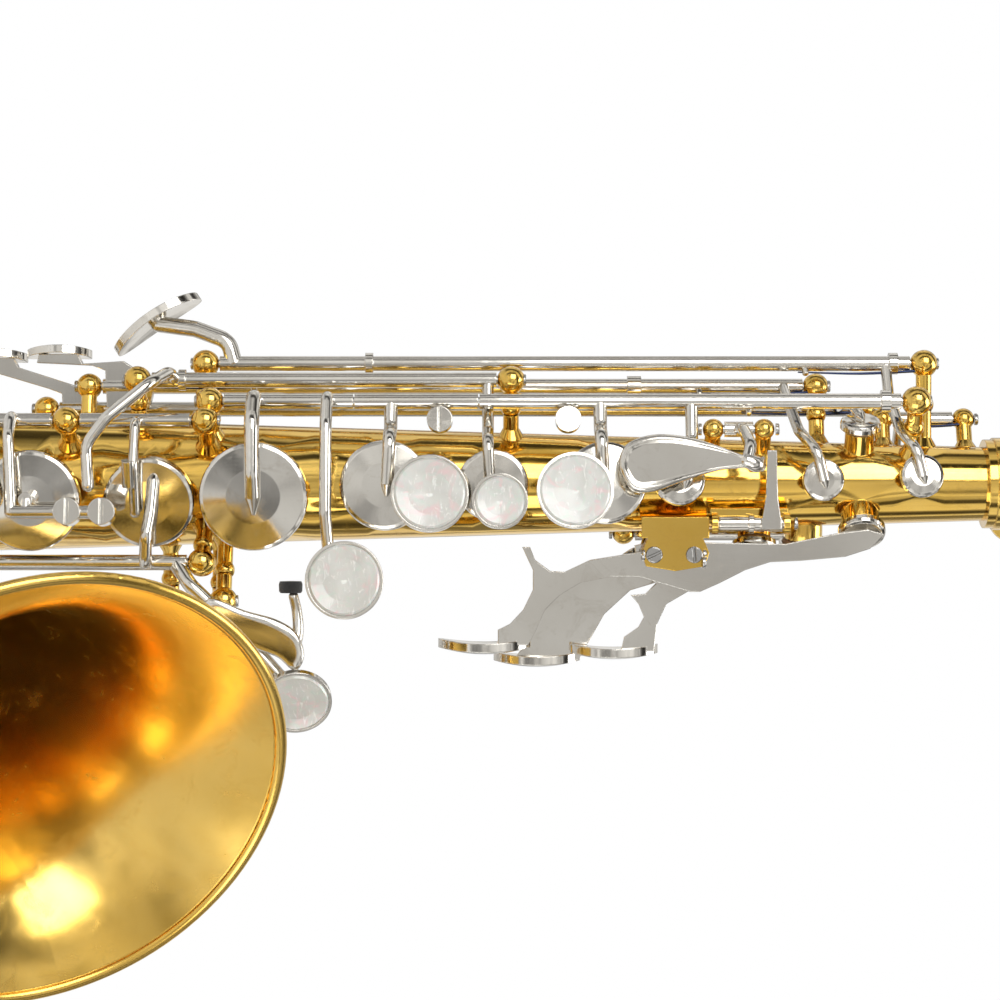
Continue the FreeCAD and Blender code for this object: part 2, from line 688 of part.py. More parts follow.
def rocker_rod():
    return hinge_tube(ROCKER_LINE, ROCKER_LUGS[0], ROCKER_LUGS[1] + LUG_THICKNESS, ROD_RADIUS)


# palm key saddle: three upright plates with the levers between them
PALM_PIVOT_X = 16.0
FIRST_PIVOT = 43.6
SECOND_PIVOT = 34.6
SADDLE_FRONT = (-14.9, -13.7)
SADDLE_MIDDLE = (-10.1, -8.9)
SADDLE_BACK = (4.1, 5.3)


def palm_saddle():
    """Gold saddle: a block on the body with three plates that hold the palm levers' pins."""
    z0, z1 = 31.8, 47.0
    shapes = [block(7.5, 12.3, SADDLE_FRONT[0], SADDLE_BACK[1], z0, z1)]
    for y0, y1 in (SADDLE_FRONT, SADDLE_MIDDLE, SADDLE_BACK):
        shapes.append(plate([(z0 + 1.5, 12.0), (z1 - 1.5, 12.0), (z1, 15.5), (z1 - 1.0, 18.6),
                             (39.4, 19.7), (z0 + 1.0, 18.6), (z0, 15.5)], y0, y1))
    return fuse(shapes).cut([body_cone()] + palm_pins())


def palm_pins():
    first = cylinder(vec(PALM_PIVOT_X, SADDLE_FRONT[0] - 0.35, FIRST_PIVOT), vec(0, 1, 0), ROD_RADIUS,
                     SADDLE_MIDDLE[1] - SADDLE_FRONT[0] + 0.35)
    second = cylinder(vec(PALM_PIVOT_X, SADDLE_MIDDLE[0], SECOND_PIVOT), vec(0, 1, 0), ROD_RADIUS,
                      SADDLE_BACK[1] - SADDLE_MIDDLE[0])
    rivet = cylinder(vec(PALM_PIVOT_X, SADDLE_FRONT[0] - 0.35, SECOND_PIVOT), vec(0, 1, 0), ROD_RADIUS,
                     SADDLE_FRONT[1] - SADDLE_FRONT[0] + 0.35)
    return [first, second, rivet]


def hinge_rods():
    return Part.makeCompound([rod(line) for line in POSTS] + [rocker_rod()] + palm_pins())


def strap_ring_and_lyre_socket():
    """The two fittings soldered to the back."""
    return Part.makeCompound([strap_ring(), lyre_socket()])


def strap_ring():
    ring = Part.makeTorus(6.0, 1.4, vec(0, RING_Y, STRAP_RING_HEIGHT), vec(1, 0, 0))
    surface = RING_Y - STRAP_RING_OUT
    z = STRAP_RING_HEIGHT
    tab = block(-2.2, 2.2, surface - 3.0, RING_Y - 5.6, z - 4.5, z + 4.5)
    foot = block(-5.5, 5.5, surface - 4.0, surface + 1.2, z - 9.0, z + 9.0)
    foot = foot.common(cylinder(vec(0, 0, z), vec(0, 1, 0), 8.6, 30.0))
    return fuse([ring, tab, foot]).cut(body_cone())


THUMB_HOOK_TOP = -102.0


def thumb_hook():
    """Curved hook for the right thumb, on a screwed plate."""
    z, surface = THUMB_HOOK_TOP, tube_radius(-108.0)
    centre = vec(-5.5, surface + 4.0, z - 11.0)
    sector = Part.makeCylinder(12.0, 11.0, centre, vec(1, 0, 0))
    sector = sector.cut(Part.makeCylinder(9.9, 11.0, centre, vec(1, 0, 0)))
    sector = sector.common(block(-5.5, 5.5, centre.y, centre.y + 13.0, centre.z - 3.0, centre.z + 13.0))
    bridge = block(-5.5, 5.5, surface - 3.0, centre.y, z - 1.1, z + 1.0)
    foot = block(-6.0, 6.0, surface - 5.0, surface + 1.6, z - 16.0, z + 5.0)
    return fuse([sector, bridge, foot]).cut(body_cone())


def thumb_rest():
    """Round rest for the left thumb, below the octave lever."""
    z = 17.0
    surface = tube_radius(z)
    stand = cylinder(vec(0, surface - 3.0, z), vec(0, 1, 0), 4.0, 4.6)
    button = revolved([(0, 0), (6.0, 0), (7.4, 0.9), (7.4, 1.6), (6.4, 2.6), (0, 3.1)])
    return stand.fuse(placed(button, vec(0, surface + 1.6, z), vec(0, 1, 0))).cut(body_cone())


LYRE_BORE = 2.1
LYRE_SPAN = (84.0, 96.0)


def lyre_socket():
    """Socket for a marching lyre: an upright bore with a clamping screw."""
    z0, z1 = LYRE_SPAN
    y = tube_radius(90.0) + 4.4
    barrel = hinge_tube((0.0, y), z0, z1, 3.3)
    web = block(-1.6, 1.6, tube_radius(90.0) - 2.0, y, z0 + 2.0, z1 - 2.0)
    boss = cylinder(vec(0, y, 90.0), vec(0, 1, 0), 2.2, 5.2)
    head = cylinder(vec(0, y + 5.2, 90.0), vec(0, 1, 0), 3.4, 1.8)
    whole = fuse([barrel, web, boss, head]).cut(body_cone())
    return whole.cut(hinge_tube((0.0, y), z0 - 1.0, z1 + 1.0, LYRE_BORE))


# guards over the low cups: ring's height above the tone hole's rim, direction of the first leg
GUARD_RING = 9.5
GUARDS = {"low_c": (12.8, 30.0), "low_b": (15.6, 60.0), "low_bb": (15.6, 60.0)}
GUARD_WIRE = 1.3


def guard(name):
    """Ring over an open cup, on three legs, with a threaded sleeve for its felt."""
    rim, direction, cup_radius, centre = LOW_HOLES[name]
    height, first_leg = GUARDS[name]
    legs_out = cup_radius + 1.5
    shapes = [Part.makeTorus(GUARD_RING, GUARD_WIRE, vec(0, 0, height)),
              Part.makeCylinder(3.4, 3.0, vec(0, 0, height - 0.6))]
    reach = (rim - centre).Length
    for turn in (0.0, 120.0, 240.0):
        a = math.radians(first_leg + turn)
        ray = vec(math.cos(a), math.sin(a))
        points = [ray * 2.5 + vec(0, 0, height), ray * (legs_out - 1.5) + vec(0, 0, height)]
        points += [ray * legs_out + vec(0, 0, height - 5.0), ray * legs_out - vec(0, 0, reach * 0.75)]
        shapes.append(bar(points, 1.0, 3.0))
    return placed(fuse(shapes), rim, direction, UP)


def bell_guards():
    fixed = horn_outside() + ring_blanks()
    return Part.makeCompound([guard(name).cut(fixed) for name in GUARDS])


# ---- stack keys ---------------------------------------------------------------------------------
STACK_PEARL_Y = -22.6           # back of the pearl holders over the upper stack
LOWER_PEARL_Y = -26.5


def over_arm(line, name, z, radius=1.45, tip=3.0):
    """Arm that leaves the hinge over the front and runs down to the middle of the cup."""
    x, y = line
    top = cup_top(name, 0.55 * radius)
    crest = top.y - 1.6
    points = [at(line, z), vec(x - 0.6, y - 5.2, z), vec(x + 6.0, crest - 0.6, z)]
    points += [vec(top.x - 5.0, crest, 0.5 * (z + top.z)), vec(top.x, top.y + 0.2, top.z)]
    return bar(points, radius, 5.0, tip)


def under_arm(line, name, z, radius=1.3, tip=2.6):
    """Arm that leaves the hinge on the body side, then climbs over the cup's edge."""
    x, y = line
    top = cup_top(name, 0.5 * radius)
    edge = top.x - TONE_HOLES[name][2]
    points = [at(line, z), vec(edge - 3.2, y - 1.5, z), vec(edge - 0.6, top.y - 1.6, z)]
    points.append(vec(top.x, top.y, 0.5 * (z + top.z)))
    return bar(points, radius, 3.0, tip)


def pearl_stem(centre, back_to):
    """Stem from a pearl holder back to the cup it stands on."""
    return cylinder(centre - vec(0, 0.5, 0), vec(0, 1, 0), 2.1, back_to - centre.y + 0.5)


def key(body, line, z0, z1, shapes):
    """Fuses a key's shapes to its hinge tube, bores it and turns it to rest."""
    whole = fuse([hinge_tube(line, z0, z1)] + shapes)
    return at_rest(body, bored(whole, line, z0, z1))


def adjusting_head(line, z, radius=2.9):
    """Slotted regulating screw on a lug beside the hinge."""
    x, y = line
    centre = vec(x + 4.4, y - 3.0, z)
    lug = bar([at(line, z), vec(x + 4.4, y + 0.4, z)], 1.4)
    head = cylinder(centre, vec(0, 1, 0), radius, 3.4)
    slot = block(centre.x - 3.5, centre.x + 3.5, centre.y - 0.1, centre.y + 0.7, z - 0.35, z + 0.35)
    return fuse([lug, head]).cut(slot)


PEARLS = {
    "g": (vec(22.9, STACK_PEARL_Y, -34.2), 8.6),
    "a": (vec(3.7, STACK_PEARL_Y, -15.5), 8.6),
    "bis": (vec(5.7, STACK_PEARL_Y + 0.6, 0.0), 6.2),
    "b": (vec(3.0, STACK_PEARL_Y, 16.6), 8.5),
    "f": (vec(3.5, LOWER_PEARL_Y, -120.0), 8.6),
    "e": (vec(3.5, LOWER_PEARL_Y, -143.0), 8.6),
    "d": (vec(3.5, LOWER_PEARL_Y, -169.5), 8.6),
    "gsharp": (vec(47.5, -21.0, -45.5), 8.0),
}
PEARL_FACING = {"gsharp": vec(0.5, -0.85, 0.1)}


def pearl_facing(name):
    return PEARL_FACING.get(name, vec(0, -1, 0))


def holder(name):
    centre, radius = PEARLS[name]
    return pearl_holder(centre, radius, pearl_facing(name))


def pearl(name):
    centre, radius = PEARLS[name]
    return at_rest(name + "_key", pearl_disc(centre, radius, pearl_facing(name)))


def pad(name):
    body = name + "_key"
    shape = pad_for(name)
    if name == "b":
        shape = Part.makeCompound([shape, pad_for("c_vent")])
    return at_rest(body, shape)


def g_key():
    centre, _radius = PEARLS["g"]
    x, y = STACK
    z = -38.6
    reach = bar([at(STACK, z), vec(x - 0.6, y - 5.4, z), vec(x + 7.0, STACK_PEARL_Y - 0.9, z),
                 vec(8.0, STACK_PEARL_Y - 0.6, z), vec(centre.x - 5.5, STACK_PEARL_Y + 1.0, z + 0.8),
                 centre + vec(0, 0.9, 0)], 1.35, 5.0)
    arm = over_arm(STACK, "g", -55.0, 1.7, 4.0)
    return key("g_key", STACK, -62.0, -33.0, [arm, cup_for("g"), reach, holder("g")])


def a_key():
    centre, _radius = PEARLS["a"]
    shapes = [under_arm(STACK, "a", -24.5, 1.5), cup_for("a"), holder("a"), adjusting_head(STACK, -13.5)]
    shapes.append(pearl_stem(vec(3.7, centre.y, -18.5), cup_top("a").y + 0.8))
    return key("a_key", STACK, -32.7, -4.9, shapes)


def b_key():
    centre, _radius = PEARLS["b"]
    shapes = [under_arm(STACK, "b", 22.5, 1.5), cup_for("b"), holder("b"), adjusting_head(STACK, 15.3)]
    shapes += [under_arm(STACK, "c_vent", 43.0, 1.4, 2.0), cup_for("c_vent"), needle_ring(STACK, 86.7)]
    shapes.append(pearl_stem(vec(3.0, centre.y, 19.5), cup_top("b").y + 0.8))
    return key("b_key", STACK, -4.6, 90.1, shapes)


def bis_key():
    centre, _radius = PEARLS["bis"]
    top = cup_top("bis")
    arm = bar([at(BIS_LINE, -2.7), vec(-17.5, -9.6, -2.7), vec(-11.0, -14.4, -2.7),
               vec(-8.0, top.y - 1.4, -2.7), vec(top.x, top.y - 0.4, -2.2)], 1.3, 3.0, 2.6)
    tail = bar([at(BIS_LINE, -74.0), vec(-24.6, -14.5, -74.2), vec(-20.9, -21.8, -77.8),
                vec(-12.9, -23.7, -87.0), vec(-7.0, -23.0, -91.6), vec(2.2, -22.8, -91.0)], 1.35, 6.0)
    shapes = [arm, tail, cup_for("bis"), holder("bis"), needle_ring(BIS_LINE, -72.0, 2.4, 1.6)]
    shapes.append(pearl_stem(vec(5.0, centre.y, -1.0), top.y + 0.8))
    return key("bis_key", BIS_LINE, -78.9, -0.8, shapes)


def gsharp_key():
    """Cup arm with a pointed end, and a table pearl for the left little finger."""
    centre, _radius = PEARLS["gsharp"]
    x, y = GSHARP_LINE
    top = cup_top("gsharp", 1.1)
    arm = bar([at(GSHARP_LINE, -78.8), vec(x + 0.5, y - 5.0, -78.8), vec(x - 6.0, top.y - 1.8, -78.4),
               vec(top.x + 2.0, top.y - 0.4, -77.6), vec(top.x - 5.5, top.y + 0.6, -77.0)], 1.4, 4.0, 3.0)
    lever = bar([at(GSHARP_LINE, -72.6), vec(x + 5.0, y - 3.0, -69.0), vec(34.0, -22.0, -57.0),
                 vec(42.0, -21.0, -50.0), centre - pearl_facing("gsharp") * 1.1], 1.7, 6.0)
    shapes = [arm, lever, cup_for("gsharp"), holder("gsharp")]
    return key("gsharp_key", GSHARP_LINE, -115.0, -70.1, shapes)


def over_cup(name, across, lift, z):
    """Point above a cup: so far to the left of its middle, and so far off its face."""
    top, direction = cup_top(name), outward(TONE_HOLES[name][1])
    point = top + direction * lift + UP.cross(direction) * across
    return vec(point.x, point.y, z)


def trill_key():
    """Short segment whose roller arm rests over the G sharp cup."""
    x, y = LOWER_STACK
    z = -80.9
    arm = bar([at(LOWER_STACK, z), vec(x + 0.4, y - 5.4, z), over_cup("gsharp", -9.5, 3.6, z),
               over_cup("gsharp", -4.0, 3.0, z), over_cup("gsharp", 1.5, 2.6, z)], 1.15, 2.5)
    roller_start = over_cup("gsharp", -10.5, 3.6, z - 1.0)
    roller = cylinder(roller_start, over_cup("gsharp", -4.0, 3.1, z - 1.0) - roller_start, 1.6, 6.0)
    return key("trill_key", LOWER_STACK, -93.8, -69.3, [arm, roller])


REGULATING_X = 7.6
REGULATING_Y = -26.4
REGULATING_SCREWS = (-95.0, -87.4)


def regulating_bar():
    """Bar with two slotted screws, carried by the F sharp key."""
    shapes = [bar([vec(REGULATING_X, REGULATING_Y, -107.5), vec(REGULATING_X, REGULATING_Y, -87.4)], 1.5)]
    slots = []
    for z in REGULATING_SCREWS:
        shapes.append(cylinder(vec(REGULATING_X, REGULATING_Y - 1.9, z), vec(0, 1, 0), 3.0, 3.6))
        slots.append(block(REGULATING_X - 3.2, REGULATING_X + 3.2, REGULATING_Y - 2.0,
                           REGULATING_Y - 1.2, z - 0.4, z + 0.4))
    return fuse(shapes).cut(slots)


def fsharp_key():
    x, y = LOWER_STACK
    top = cup_top("fsharp", 0.8)
    arm = bar([at(LOWER_STACK, -108.6), vec(x - 0.4, y - 5.4, -108.6), vec(x + 5.0, top.y - 3.6, -108.4),
               vec(REGULATING_X - 2.0, REGULATING_Y + 0.2, -107.6), vec(REGULATING_X, REGULATING_Y, -107.5)],
              1.35, 4.0)
    post_down = cylinder(vec(top.x, top.y + 1.2, -104.3), vec(0, -1, 0), 1.6, 5.0)
    link = bar([vec(top.x, REGULATING_Y + 0.8, -104.3), vec(REGULATING_X, REGULATING_Y, -104.3)], 1.3)
    shapes = [arm, post_down, link, regulating_bar(), cup_for("fsharp")]
    return key("fsharp_key", LOWER_STACK, -116.2, -100.3, shapes)


LOWER_SEGMENTS = {"f": (-140.2, -122.8, -132.0), "e": (-165.2, -146.8, -157.5), "d": (-193.7, -171.8, -184.5)}


def lower_stack_key(name):
    """F, E or D key: one arm over its cup, and a pearl on a stem near the cup's edge."""
    z0, z1, arm_z = LOWER_SEGMENTS[name]
    centre, _radius = PEARLS[name]
    top = cup_top(name)
    stem = vec(centre.x, centre.y, TONE_HOLES[name][0] + TONE_HOLES[name][2] - 3.8)
    shapes = [over_arm(LOWER_STACK, name, arm_z, 1.5), cup_for(name), holder(name)]
    shapes.append(pearl_stem(stem, top.y + 0.2))
    return key(name + "_key", LOWER_STACK, z0, z1, shapes)


# ---- side keys ----------------------------------------------------------------------------------
def side_e_key():
    """Long key to the small cup at the top, with a wing touch at the bottom."""
    top = cup_top("side_e", 0.7)
    arm = bar([at(SIDE_E_LINE, 88.5), vec(-20.0, -5.5, 88.6), vec(-11.5, -12.0, 90.5),
               vec(-7.5, top.y - 1.6, 93.4), top], 1.25, 4.0, 2.0)
    neck_bar = bar([at(SIDE_E_LINE, -61.0), vec(-32.8, -0.4, -62.4), vec(-35.6, 0.4, -70.0),
                    vec(-36.8, 1.2, -78.6)], 1.9, 4.0)
    touch = paddle(vec(-38.0, 1.2, -79.6), vec(-0.82, 0.15, -0.56), vec(-0.56, 0.0, 0.83),
                   23.0, 12.0, 1.9, 1.6)
    ring = needle_ring(SIDE_E_LINE, -30.0, 2.5, 1.8)
    upper_ring = needle_ring(SIDE_E_LINE, 90.2, 2.5, 2.0)
    shapes = [arm, neck_bar, touch, cup_for("side_e"), ring, upper_ring]
    return key("side_e_key", SIDE_E_LINE, -64.3, 94.0, shapes)


def side_lever(line, z0, z1, touch_z, touch_x, depth):
    """Broad curved plate from a hinge tube down to a side touch."""
    x, y = line
    outline = [(z1, x + 1.0), (z1 - 1.0, x - 1.8), (z1 - 7.0, x - 5.8), (touch_z + 5.5, touch_x + 2.2),
               (touch_z + 4.5, touch_x), (touch_z - 4.5, touch_x), (touch_z - 5.0, touch_x + 2.0),
               (z0 - 2.6, x - 4.8), (z0 + 0.6, x - 3.6), (z0 + 1.0, x + 5.0), (z0 + 2.2, x + 5.6),
               (z1 - 2.2, x + 5.6), (z1 - 1.0, x + 5.0)]
    return plate(outline, y - depth / 2.0, y + depth / 2.0)


def side_c_key():
    top = cup_top("side_c", 0.7)
    arm = bar([at(SIDE_C_LINE, 65.5), vec(-19.0, -5.0, 65.6), vec(-12.0, -11.8, 67.4),
               vec(-7.0, top.y - 1.5, 71.0), top], 1.25, 4.0, 2.0)
    lever = side_lever(SIDE_C_LINE, -91.8, -80.0, -102.0, -30.0, 2.6)
    touch = paddle(vec(-31.2, 5.5, -102.0), vec(-1.0, 0.1, 0.0), UP, 15.0, 10.0, 1.8, 1.2)
    shapes = [arm, lever, touch, cup_for("side_c"), needle_ring(SIDE_C_LINE, 31.0, 2.4, 3.2)]
    return key("side_c_key", SIDE_C_LINE, -91.8, 69.9, shapes)


def side_bb_key():
    top = cup_top("side_bb", 0.6)
    arm = bar([at(SIDE_BB_LINE, 78.6), vec(-18.6, 4.0, 79.0), vec(-18.0, -3.2, 80.6), top], 1.2, 4.0, 1.6)
    lever = side_lever(SIDE_BB_LINE, -102.9, -93.0, -118.0, -29.5, 2.4)
    touch = paddle(vec(-30.7, 12.4, -118.0), vec(-1.0, 0.1, 0.0), UP, 15.0, 10.0, 1.8, 1.2)
    return key("side_bb_key", SIDE_BB_LINE, -102.9, 81.3, [arm, lever, touch, cup_for("side_bb")])


# ---- octave mechanism and front F ---------------------------------------------------------------
def octave_vent_key():
    top = cup_top("octave_vent", 0.5)
    arm = bar([at(VENT_LINE, 98.0), vec(-13.4, 11.0, 98.6), top], 1.1, 3.0, 1.0)
    tail = bar([at(VENT_LINE, 93.0), vec(-13.0, 11.0, 93.0), vec(-8.5, 14.0, 93.0)], 1.1, 3.0)
    return key("octave_vent_key", VENT_LINE, 91.2, 104.7, [arm, tail, cup_for("octave_vent")])


def octave_rocker():
    """Short rocker across the front of the body."""
    x, y = ROCKER_LINE
    arm = plate([(58.6, x), (59.6, 3.0), (59.9, -7.4), (62.0, -7.4), (62.2, 3.0), (63.0, x)],
                y - 3.4, y - 1.9)
    web = block(x - 1.2, x + 1.2, y - 3.4, y, 58.6, 63.0)
    ring = needle_ring(ROCKER_LINE, 56.5, 2.2, 1.2)
    return key("octave_rocker", ROCKER_LINE, 49.3, 63.5, [arm, web, ring])


def octave_thumb_lever():
    x, y = THUMB_LINE
    touch = paddle(vec(0.5, 20.4, 44.0), vec(0, 1, 0), UP, 27.0, 11.0, 1.9, 1.8)
    neck_bar = bar([at(THUMB_LINE, 45.0), vec(x - 3.0, y + 4.4, 45.0), vec(2.0, 19.8, 45.0)], 1.8, 3.0)
    arm = bar([at(THUMB_LINE, 63.5), vec(x - 4.5, y + 3.6, 63.5), vec(-2.0, 17.6, 64.0)], 1.2, 3.0)
    return key("octave_thumb_lever", THUMB_LINE, 31.7, 66.3, [touch, neck_bar, arm])


def front_f_lever():
    """Teardrop touch above the B pearl, on a short hinge."""
    line = Part.BSplineCurve()
    outline = [(56.0, -4.4), (49.0, -7.6), (41.0, -9.9), (33.5, -10.2), (28.0, -8.0), (26.6, -3.4),
               (29.4, 1.2), (34.0, 1.4), (40.0, -0.6), (48.0, -3.0)]
    line.interpolate([vec(x, 0.0, z) for z, x in outline], True)
    face = Part.Face(Part.Wire(line.toShape()))
    touch = face.extrude(vec(0, 1.9, 0))
    touch.translate(vec(0, -28.2, 0))
    arm = bar([at(FRONT_F_LINE, 53.8), vec(-12.0, -19.0, 54.4), vec(-8.4, -25.5, 55.4),
               vec(-4.8, -27.2, 54.6)], 1.4, 3.0)
    return key("front_f_lever", FRONT_F_LINE, 50.5, 56.9, [touch, arm])


# ---- palm keys: flat levers that turn on pins across the saddle ---------------------------------
def drilled(shape, height):
    hole = cylinder(vec(PALM_PIVOT_X, -30.0, height), vec(0, 1, 0), HINGE_BORE, 60.0)
    return shape.cut(hole)


def palm_f_key():
    """Front lever: long curved plate with a horn, to the topmost palm cup."""
    y0, y1 = -13.4, -10.5
    outline = [
        (5.0, 14.3), (6.8, 14.3), (7.9, 17.2), (11.3, 19.7), (14.6, 19.9), (20.3, 17.2), (31.5, 15.4),
        (39.0, 13.6), (47.3, 13.3), (64.2, 13.6), (76.1, 11.2), (83.0, 10.4), (86.5, 11.4), (83.3, 14.7),
        (77.7, 16.5), (67.6, 17.4), (60.8, 17.7), (55.2, 19.5), (49.5, 22.4), (45.0, 24.4),
        (42.8, 24.4), (36.0, 22.4), (31.5, 21.0), (24.8, 21.0), (18.0, 22.4), (13.5, 25.1),
        (10.1, 28.5), (7.9, 33.4), (6.3, 36.4), (-0.5, 36.4), (-0.5, 33.0), (2.3, 31.6), (5.2, 28.5),
        (7.4, 24.0), (7.4, 19.5), (6.3, 17.2)]
    touch = paddle(vec(37.6, -9.0, -3.5), vec(1, 0, 0), UP, 21.0, 12.5, 2.0, 1.6)
    top = cup_top("palm_f")
    start = vec(12.8, -12.0, 79.0)
    arm = cylinder(start, top - start, 1.4, (top - start).Length + 0.2)
    return drilled(fuse([plate(outline, y0, y1), touch, arm, cup_for("palm_f")]), FIRST_PIVOT)


def palm_eb_key():
    """Middle lever, with a hooked leg."""
    y0, y1 = -8.6, -6.0
    outline = [
        (60.0, 14.0), (58.0, 17.0), (50.0, 19.0), (45.0, 22.0), (42.8, 24.4), (37.8, 27.3),
        (35.6, 31.9), (34.9, 38.0), (27.5, 38.0), (28.2, 34.8), (31.5, 32.5), (32.7, 30.3),
        (31.5, 27.4), (29.7, 25.3), (33.0, 25.0), (35.5, 22.6), (31.0, 20.0), (30.6, 14.0), (34.6, 13.1),
        (40.0, 13.3), (50.0, 14.2)]
    touch = paddle(vec(39.0, -4.5, 26.0), vec(1, 0, 0), UP, 20.0, 12.0, 2.0, 1.5)
    return drilled(fuse([plate(outline, y0, y1), touch, cup_for("palm_eb")]), SECOND_PIVOT)


def palm_d_key():
    """Back lever, with a broad leg."""
    y0, y1 = 1.0, 3.7
    outline = [
        (72.0, 15.6), (66.0, 17.6), (50.0, 19.0), (40.0, 21.5), (30.0, 24.5), (24.0, 30.0), (18.0, 40.6),
        (3.0, 40.6), (6.5, 36.0), (10.0, 29.0), (16.0, 22.5), (24.0, 19.0), (30.0, 15.0), (34.6, 13.1),
        (45.0, 13.6), (60.0, 14.0), (70.0, 14.4)]
    touch = paddle(vec(41.2, 4.0, 8.5), vec(1, 0, 0), UP, 20.0, 12.0, 2.0, 1.5)
    return drilled(fuse([plate(outline, y0, y1), touch, cup_for("palm_d")]), SECOND_PIVOT)


# ---- low keys -----------------------------------------------------------------------------------
def low_cup(name):
    rim, direction, radius, _centre = LOW_HOLES[name]
    return placed(cup_shape(radius), rim, direction)


def low_cup_top(name, lift=0.0):
    rim, direction, radius, _centre = LOW_HOLES[name]
    return rim + direction * (PAD_GAP + PAD_PROUD + CUP_HEIGHT + 0.03 * radius + lift)


def low_eb_key():
    top = cup_top("low_eb", 0.7)
    arm = bar([at(PINKY_LINE, -176.0), vec(-29.0, -2.0, -176.0), vec(-27.6, 4.6, -176.0), top], 1.4, 4.0, 2.4)
    lever = bar([at(PINKY_LINE, -198.5), vec(-29.0, -14.0, -200.0), vec(-27.5, -19.0, -201.0)], 1.7, 3.0)
    touch = paddle(vec(-27.6, -20.5, -199.5), vec(-0.93, -0.36, 0), UP, 18.0, 11.0, 1.8, 1.3)
    return key("low_eb_key", PINKY_LINE, -203.2, -166.3, [arm, lever, touch, cup_for("low_eb")])


def low_c_key():
    top = low_cup_top("low_c", 0.7)
    out = LOW_HOLES["low_c"][1]
    foot = at(PINKY_LINE, -226.0)
    arm = bar([foot, foot + out * 5.0, top + out * 1.0 + vec(-6.0, 9.0), top], 1.5, 4.0, 3.0)
    lever = bar([at(PINKY_LINE, -208.5), vec(-31.0, -14.0, -210.0), vec(-30.6, -19.0, -211.5)], 1.7, 3.0)
    touch = paddle(vec(-31.0, -20.5, -213.8), vec(-0.93, -0.36, 0), UP, 10.4, 9.6, 1.8, 1.0)
    return key("low_c_key", PINKY_LINE, -232.7, -203.6, [arm, lever, touch, low_cup("low_c")])


def low_csharp_key():
    top = low_cup_top("low_csharp", 0.7)
    arm = bar([at(CSHARP_LINE, -201.0), vec(37.0, -16.0, -206.0), vec(52.0, -28.0, -217.0),
               top + ACROSS * 1.2 + vec(-3.6, 8.4, 1.5), top], 1.6, 8.0, 3.0)
    lever = bar([at(CSHARP_LINE, -68.0), vec(31.5, -12.6, -66.5), vec(37.0, -12.6, -62.0)], 1.7, 3.0)
    touch = paddle(vec(38.6, -12.8, -61.0), vec(0.5, -0.86, 0.1), vec(0.75, 0.4, 0.5), 15.0, 9.0, 1.9, 1.0)
    return key("low_csharp_key", CSHARP_LINE, -205.7, -65.8, [arm, lever, touch, low_cup("low_csharp")])


def low_b_key():
    top = low_cup_top("low_b", 0.7)
    arm = bar([at(LOW_B_LINE, top.z), vec(42.0, -9.0, top.z), vec(58.0, -27.0, top.z),
               top + ACROSS * 1.4 + vec(-3.4, 8.6), top], 1.7, 9.0, 3.0)
    lever = bar([at(LOW_B_LINE, -70.0), vec(36.0, -9.0, -71.0), vec(36.6, -17.0, -73.0)], 1.7, 3.0)
    touch = paddle(vec(37.4, -19.0, -73.5), vec(0.86, -0.5, 0), UP, 13.0, 10.0, 1.9, 1.0)
    return key("low_b_key", LOW_B_LINE, -195.8, -67.3, [arm, lever, touch, low_cup("low_b")])


def low_bb_key():
    top = low_cup_top("low_bb", 0.6)
    arm = bar([at(LOW_BB_LINE, top.z), vec(43.0, -1.0, top.z), vec(59.0, -26.0, top.z),
               top + ACROSS * 1.4 + vec(-3.4, 8.8), top], 1.7, 8.0, 3.0)
    lever = bar([at(LOW_BB_LINE, -81.0), vec(38.0, -1.0, -82.5), vec(41.5, -11.0, -86.0)], 1.7, 4.0)
    touch = paddle(vec(42.4, -13.6, -87.0), vec(0.86, -0.5, 0), UP, 13.0, 10.0, 1.9, 1.0)
    return key("low_bb_key", LOW_BB_LINE, -169.7, -79.2, [arm, lever, touch, low_cup("low_bb")])


# ---- everything ---------------------------------------------------------------------------------
FIXED = {
    "body_tube": body_tube, "bow": bow, "bell": bell, "joint_rings": joint_rings,
    "bell_brace": bell_brace, "neck_receiver": neck_receiver, "neck_screw": neck_screw,
    "neck": neck, "neck_cork": neck_cork, "mouthpiece": mouthpiece, "ligature": ligature,
    "reed": reed, "posts": posts, "hinge_rods": hinge_rods, "palm_saddle": palm_saddle,
    "bell_guards": bell_guards, "thumb_hook": thumb_hook, "thumb_rest": thumb_rest,
    "strap_ring_and_lyre_socket": strap_ring_and_lyre_socket,
}
KEYS = {
    "g_key": g_key, "a_key": a_key, "b_key": b_key, "bis_key": bis_key, "gsharp_key": gsharp_key,
    "trill_key": trill_key, "fsharp_key": fsharp_key, "side_e_key": side_e_key,
    "side_c_key": side_c_key, "side_bb_key": side_bb_key, "octave_vent_key": octave_vent_key,
    "octave_rocker": octave_rocker, "octave_thumb_lever": octave_thumb_lever,
    "front_f_lever": front_f_lever, "palm_f_key": palm_f_key, "palm_eb_key": palm_eb_key,
    "palm_d_key": palm_d_key, "low_eb_key": low_eb_key, "low_c_key": low_c_key,
    "low_csharp_key": low_csharp_key, "low_b_key": low_b_key, "low_bb_key": low_bb_key,
}
PADS = ("g", "a", "b", "bis", "fsharp", "f", "e", "d")


def nodes():
    """Every node's name and a function that makes it."""
    table = dict(FIXED)
    table.update(KEYS)
    for name in LOWER_SEGMENTS:
        table[name + "_key"] = lambda name=name: lower_stack_key(name)
    for name in PEARLS:
        table[name + "_pearl"] = lambda name=name: pearl(name)
    for name in PADS:
        table[name + "_pad"] = lambda name=name: pad(name)
    return table


